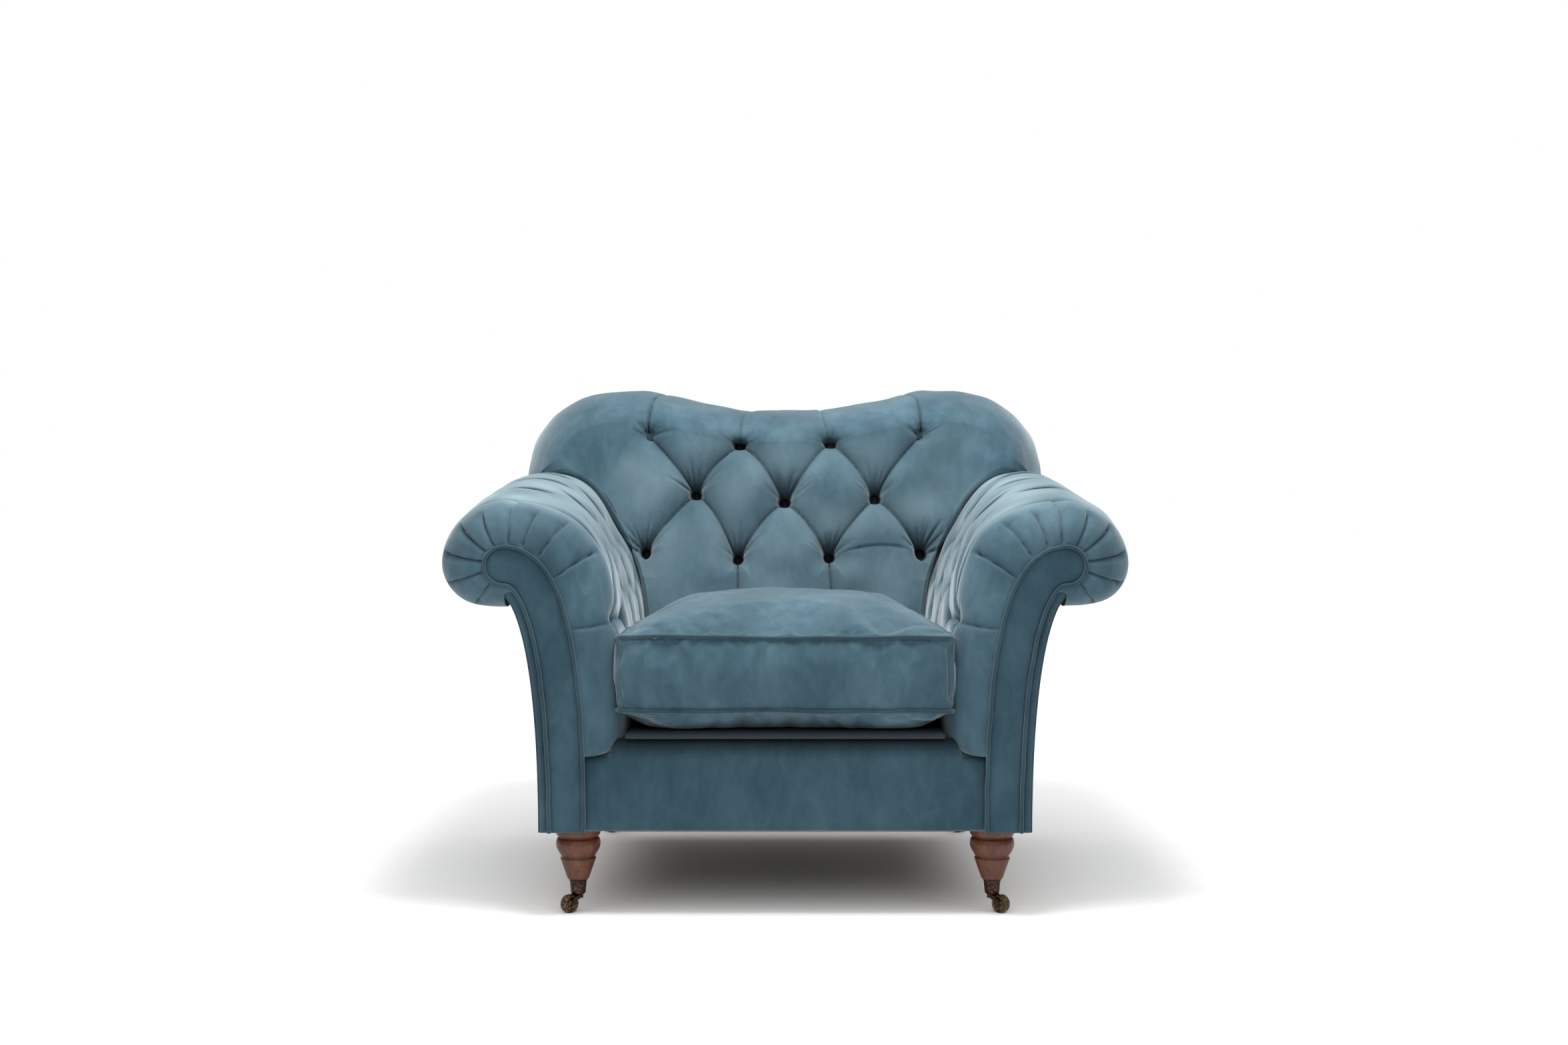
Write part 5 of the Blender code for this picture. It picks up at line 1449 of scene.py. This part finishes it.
def fillByCloth(piece):  # swells the cushion against its two sewn seams
    bpy.context.view_layer.objects.active = piece
    piece.select_set(True)
    remesh = piece.modifiers.new("even cloth", "REMESH")
    remesh.mode = "VOXEL"
    remesh.voxel_size = cushion["voxel"]
    bpy.ops.object.modifier_apply(modifier=remesh.name)
    start = meshPlaces(piece.data)
    plan = cushionPlan(0.0, cushion["ring"])
    gap = gapTo(plan, start)
    seams = piece.vertex_groups.new(name="seams")
    for z in (cushion["topSeam"], cushion["lowSeam"]):
        held = np.nonzero((gap < 0.0055) & (np.abs(start[:, 2] - z) < 0.0034))[0]
        seams.add([int(i) for i in held], 1.0, "REPLACE")
    cloth = piece.modifiers.new("velvet", "CLOTH")
    settings = cloth.settings
    settings.quality = 6
    settings.mass = 0.25
    settings.tension_stiffness = settings.compression_stiffness = 18
    settings.shear_stiffness = 12
    settings.bending_stiffness = 0.35
    settings.use_pressure = True
    settings.uniform_pressure_force = 3.2
    settings.shrink_min = -0.035
    settings.vertex_group_mass = "seams"
    settings.effector_weights.gravity = 0
    cloth.collision_settings.use_collision = False
    for step in range(1, cushion["frames"] + 1):
        bpy.context.scene.frame_set(step)
    bpy.ops.object.modifier_apply(modifier=cloth.name)
    bpy.context.scene.frame_set(1)
    moved = meshPlaces(piece.data) - start
    far = np.linalg.norm(moved, axis=1, keepdims=True)
    moved *= np.minimum(1, cushion["farthest"] / np.maximum(far, 1e-9))
    piece.data.vertices.foreach_set("co", (start + moved).ravel())
    piece.data.update()
    finer = piece.modifiers.new("finer", "SUBSURF")
    finer.levels = finer.render_levels = 1
    bpy.ops.object.modifier_apply(modifier=finer.name)
    piece.select_set(False)
    piece.vertex_groups.clear()


def buildCushion():
    piece = cushionShell(0.86)
    fillByCloth(piece)
    co = meshPlaces(piece.data)
    plan = cushionPlan(0.0, cushion["ring"])
    gap = gapTo(plan, co)
    # puckers hang from the upper piping, and the boxing hangs in soft folds
    around = co[:, 0] + 1.7 * co[:, 1] * (np.abs(co[:, 0]) > 0.25)
    drop = cushion["topSeam"] - co[:, 2]
    onBox = (gap < 0.03) * (drop > -0.002) * (co[:, 2] > cushion["lowSeam"])
    pucker = 0.0010 * np.exp(-drop / 0.018) * softWaves(around, 0.0, 101, 0.022, 8) * onBox
    hang = 0.0016 * softWaves(around, co[:, 2] * 0.15, 102, 0.085, 8) * onBox * np.sin(
        math.pi * np.clip(drop / 0.123, 0, 1)
    )
    normal = np.zeros(len(co) * 3)
    piece.data.vertices.foreach_get("normal", normal)
    normal = normal.reshape(-1, 3)
    overTop = (co[:, 2] > cushion["topSeam"] - 0.001)
    waves = 0.0012 * softWaves(co[:, 0], co[:, 1], 103, 0.12) * overTop
    co = co + normal * (pucker + hang + waves)[:, None]
    co[:, 2] = np.maximum(co[:, 2], chair["deckZ"] + 0.0032)
    piece.data.vertices.foreach_set("co", co.ravel())
    piece.data.update()
    piece.data.shade_smooth()
    addAttribute(piece, "fold", np.zeros(len(co)))
    settle(piece, velvet, "cushion", "seat_cushion")
    cords = []
    for z, seed in ((cushion["topSeam"], 111), (cushion["lowSeam"], 112)):
        path = cushionPlan(-0.0018, 420)
        wave = 0.0011 * softWaves(path[:, 0], path[:, 1], seed, 0.16, 8)
        dip = 0.0030 * np.exp(-(((path[:, 0] + 0.20) / 0.06) ** 2)) * (path[:, 1] < -0.40) if seed == 111 else 0
        places = np.column_stack([path, z + wave + dip])
        cords.append(tube("cord", places, cushion["piping"], closed=True))
    piping = joinPieces("cushionPiping", cords)
    # painted shade on the piping
    evenFold(piping, pipingShade)
    settle(piping, velvetShaded, "cushion")


buildCushion()
print("cushion made")

# Legs


def turnedPiece(name, profile, centre, steps):
    # a profile of (radius, height) drawn as a line of points, then spun about its axis
    bpy.ops.mesh.primitive_plane_add(size=0.01, location=(0, 0, 0))
    piece = bpy.context.object
    bpy.ops.object.mode_set(mode="EDIT")
    bpy.ops.mesh.select_all(action="SELECT")
    bpy.ops.mesh.merge(type="CENTER")
    bpy.ops.transform.translate(value=(profile[0][0], 0, profile[0][1]))
    for (r0, z0), (r1, z1) in zip(profile, profile[1:]):
        bpy.ops.mesh.extrude_vertices_move(TRANSFORM_OT_translate={"value": (r1 - r0, 0, z1 - z0)})
    bpy.ops.mesh.select_all(action="SELECT")
    bpy.ops.mesh.spin(steps=steps, angle=math.tau, center=(0, 0, 0), axis=(0, 0, 1))
    bpy.ops.mesh.select_all(action="SELECT")
    bpy.ops.mesh.remove_doubles(threshold=0.00002)
    bpy.ops.mesh.normals_make_consistent(inside=False)
    bpy.ops.object.mode_set(mode="OBJECT")
    piece.data.transform(centre)
    piece.name = piece.data.name = name
    bpy.ops.object.shade_smooth_by_angle(angle=math.radians(42))
    bpy.ops.object.select_all(action="DESELECT")
    return piece


frontLeg = dict(
    x=0.3540, y=-0.3850, steps=64, top=0.1437, foot=0.0545, spigotRadius=0.0088, spigotFoot=0.0362,
    profile=(  # share of the height above the foot, radius: collar, ball, bead and cone
        (1.000, 0.0372), (0.992, 0.0384), (0.919, 0.0385), (0.890, 0.0380), (0.863, 0.0370), (0.842, 0.0356),
        (0.832, 0.0340), (0.826, 0.0332), (0.812, 0.0332), (0.806, 0.0340), (0.798, 0.0352), (0.768, 0.0369),
        (0.730, 0.0379), (0.689, 0.0381), (0.645, 0.0376), (0.605, 0.0366), (0.566, 0.0349), (0.527, 0.0328),
        (0.495, 0.0312), (0.471, 0.0300), (0.462, 0.0290), (0.454, 0.0284), (0.432, 0.0284), (0.426, 0.0292),
        (0.418, 0.0300), (0.406, 0.0304), (0.394, 0.0303), (0.387, 0.0299), (0.300, 0.0271), (0.200, 0.0240),
        (0.110, 0.0212), (0.053, 0.0194), (0.030, 0.0187), (0.012, 0.0176), (0.000, 0.0158),
    ),
)


spigotEnd = (frontLeg["spigotRadius"], frontLeg["spigotFoot"])


def buildFrontLegs():
    height = frontLeg["top"] - frontLeg["foot"]
    shaped = [(radius, frontLeg["foot"] + share * height) for share, radius in frontLeg["profile"]]
    profile = [(0.0, frontLeg["top"])] + shaped + [(0.0104, frontLeg["foot"]), spigotEnd, (0.0, spigotEnd[1])]
    for side, sign in sides.items():
        piece = turnedPiece(
            f"frontLeg{side.capitalize()}", profile,
            Matrix.Translation((sign * frontLeg["x"], frontLeg["y"], 0)), frontLeg["steps"],
        )
        co = meshPlaces(piece.data)
        share = (co[:, 2] - frontLeg["foot"]) / height
        groove = np.exp(-(((share - 0.819) / 0.012) ** 2)) + np.exp(
            -(((share - 0.443) / 0.014) ** 2)
        ) + 0.5 * np.exp(-((share / 0.02) ** 2))
        addAttribute(piece, "fold", np.clip(groove, 0, 0.85))
        settle(piece, legFinish, "chair", f"front_leg_{side}")


rearLeg = dict(top=0.0455, foot=0.0270, splay=0.045, bevel=0.0035)


def buildRearLegs():
    for side, sign in sides.items():
        low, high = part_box(f"rear_leg_{side}")
        x = sign * frontLeg["x"]
        topY = low.y + rearLeg["top"] / 2
        top, foot = frontLeg["top"], frontLeg["foot"]
        bpy.ops.mesh.primitive_plane_add(size=rearLeg["top"], location=(x, topY, top))
        piece = bpy.context.object
        bpy.ops.object.mode_set(mode="EDIT")
        bpy.ops.mesh.select_all(action="SELECT")
        last, y, size = 0.0, topY, rearLeg["top"]
        for share in (0.12, 0.24, 0.36, 0.48, 0.60, 0.72, 0.84, 0.94, 1.0):
            sweep = share * share * (1.6 - 0.6 * share)
            newY = topY + rearLeg["splay"] * sweep
            newSize = rearLeg["top"] + (rearLeg["foot"] - rearLeg["top"]) * share
            bpy.ops.mesh.extrude_region_move(
                TRANSFORM_OT_translate={"value": (0, newY - y, -(top - foot) * (share - last))}
            )
            ratio = newSize / size
            here = (x, newY, top - (top - foot) * share)
            bpy.ops.transform.resize(value=(ratio, ratio, 1), center_override=here)
            last, y, size = share, newY, newSize
        bpy.ops.mesh.select_all(action="SELECT")
        bpy.ops.mesh.normals_make_consistent(inside=False)
        bpy.ops.object.mode_set(mode="OBJECT")
        bpy.ops.object.transform_apply(location=True, rotation=True, scale=True)
        soften = piece.modifiers.new("softened edges", "BEVEL")
        soften.width = rearLeg["bevel"]
        soften.segments = 3
        soften.angle_limit = math.radians(50)
        bpy.ops.object.modifier_apply(modifier=soften.name)
        bpy.ops.object.shade_smooth_by_angle(angle=math.radians(35))
        spigot = turnedPiece(
            "spigot", [(0.0, foot + 0.003), (0.0100, foot + 0.003), spigotEnd, (0.0, spigotEnd[1])],
            Matrix.Translation((x, topY + rearLeg["splay"], 0)), 32,
        )
        piece = joinPieces(f"rearLeg{side.capitalize()}", [piece, spigot])
        evenFold(piece, 0.0)
        settle(piece, legFinish, "chair", f"rear_leg_{side}")


buildFrontLegs()
buildRearLegs()
print("legs made")

# Castors: a turned cup and wheel on each, with the horn and rivet of the frame itself

castor = dict(
    trail=0.0192, wheelRadius=0.01515, wheelWidth=0.0140, axleZ=0.01501, cupTop=0.0542, cupFoot=0.0298,
    turns=dict(front_left=-134.0, front_right=-46.0, rear_left=130.0, rear_right=50.0),
)


def castorPlace(corner):
    low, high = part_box(f"castor_cup_{corner}")
    return (low.x + high.x) / 2, (low.y + high.y) / 2


def buildCastors():
    top, foot = castor["cupTop"], castor["cupFoot"]
    cupOuter = [
        (0.0148, top), (0.0154, top - 0.0003), (0.0155, top - 0.0010), (0.0154, top - 0.0019), (0.0147, top - 0.0027),
        (0.0143, top - 0.0036), (0.0135, top - 0.0120), (0.0127, foot + 0.0052), (0.0129, foot + 0.0045),
        (0.0129, foot + 0.0034),
        (0.0124, foot + 0.0027), (0.0121, foot + 0.0010), (0.0116, foot + 0.0002), (0.0112, foot),
    ]
    cupInner = [(0.0034, foot), (0.0034, foot + 0.0040), (0.0106, foot + 0.0040), (0.0130, top), (0.0148, top)]
    half = castor["wheelWidth"] / 2
    r = castor["wheelRadius"]
    wheelOuter = [
        (0.0019, half), (0.0040, half), (0.0046, half - 0.0006), (0.0052, half - 0.0020), (0.0096, half - 0.0024),
        (0.0114, half - 0.0020), (0.0120, half - 0.0008), (0.0128, half - 0.0001), (0.0138, half),
        (0.0146, half - 0.0005),
        (r - 0.0002, half - 0.0013), (r, half - 0.0022), (r, 0.0012), (r - 0.0004, 0.0008),
    ]
    wheelProfile = wheelOuter + [(radius, -z) for radius, z in reversed(wheelOuter)] + [(0.0019, half)]
    for corner in corners:
        x, y = castorPlace(corner)
        cup = turnedPiece(f"castorCup.{corner}", cupOuter + cupInner, Matrix.Translation((x, y, 0)), 48)
        settle(cup, castorFinish, "chair", f"castor_cup_{corner}")
        turn = Matrix.Rotation(math.radians(castor["turns"][corner]), 4, "Z")
        hub = Matrix.Translation((x, y, 0)) @ turn @ Matrix.Translation(
            (castor["trail"], 0, castor["axleZ"])
        ) @ Matrix.Rotation(math.pi / 2, 4, "X")
        wheel = turnedPiece(f"castorWheel.{corner}", wheelProfile, hub, 56)
        settle(wheel, wheelFinish, f"wheel_{corner}", f"castor_wheel_{corner}")


buildCastors()
print("castors made")

# The dust cover under the seat frame, stapled along its edges


def buildDustCover():
    low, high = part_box("dust_cover")
    u, v = np.meshgrid(np.linspace(0, 1, 90), np.linspace(0, 1, 90))
    x = low.x + (high.x - low.x) * u
    y = low.y + (high.y - low.y) * v
    sag = 0.0007 * softWaves(x, y, 121, 0.12) * np.sin(math.pi * u) * np.sin(math.pi * v)
    lower = np.stack([x, y, low.z + 0.0008 - sag * 0.5], -1)
    upper = lower + (0, 0, 0.0009)
    piece = slab("dustCover", upper, lower)
    settle(piece, dustFinish, "chair", "dust_cover")


buildDustCover()

# The hidden frame keeps its shape and takes its own finishes

for name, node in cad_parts.items():
    if name.startswith(("castor_horn", "castor_axle")):
        dress(node, castorFinish)
    elif name == "seat_springs":
        dress(node, springFinish)
    elif name in ("front_rail", "rear_rail", "back_lower_rail", "crest_rail") or name.startswith(
        ("side_rail", "corner_block", "arm_post", "arm_rail", "back_post")
    ):
        dress(node, boardFinish)
print("frame dressed")
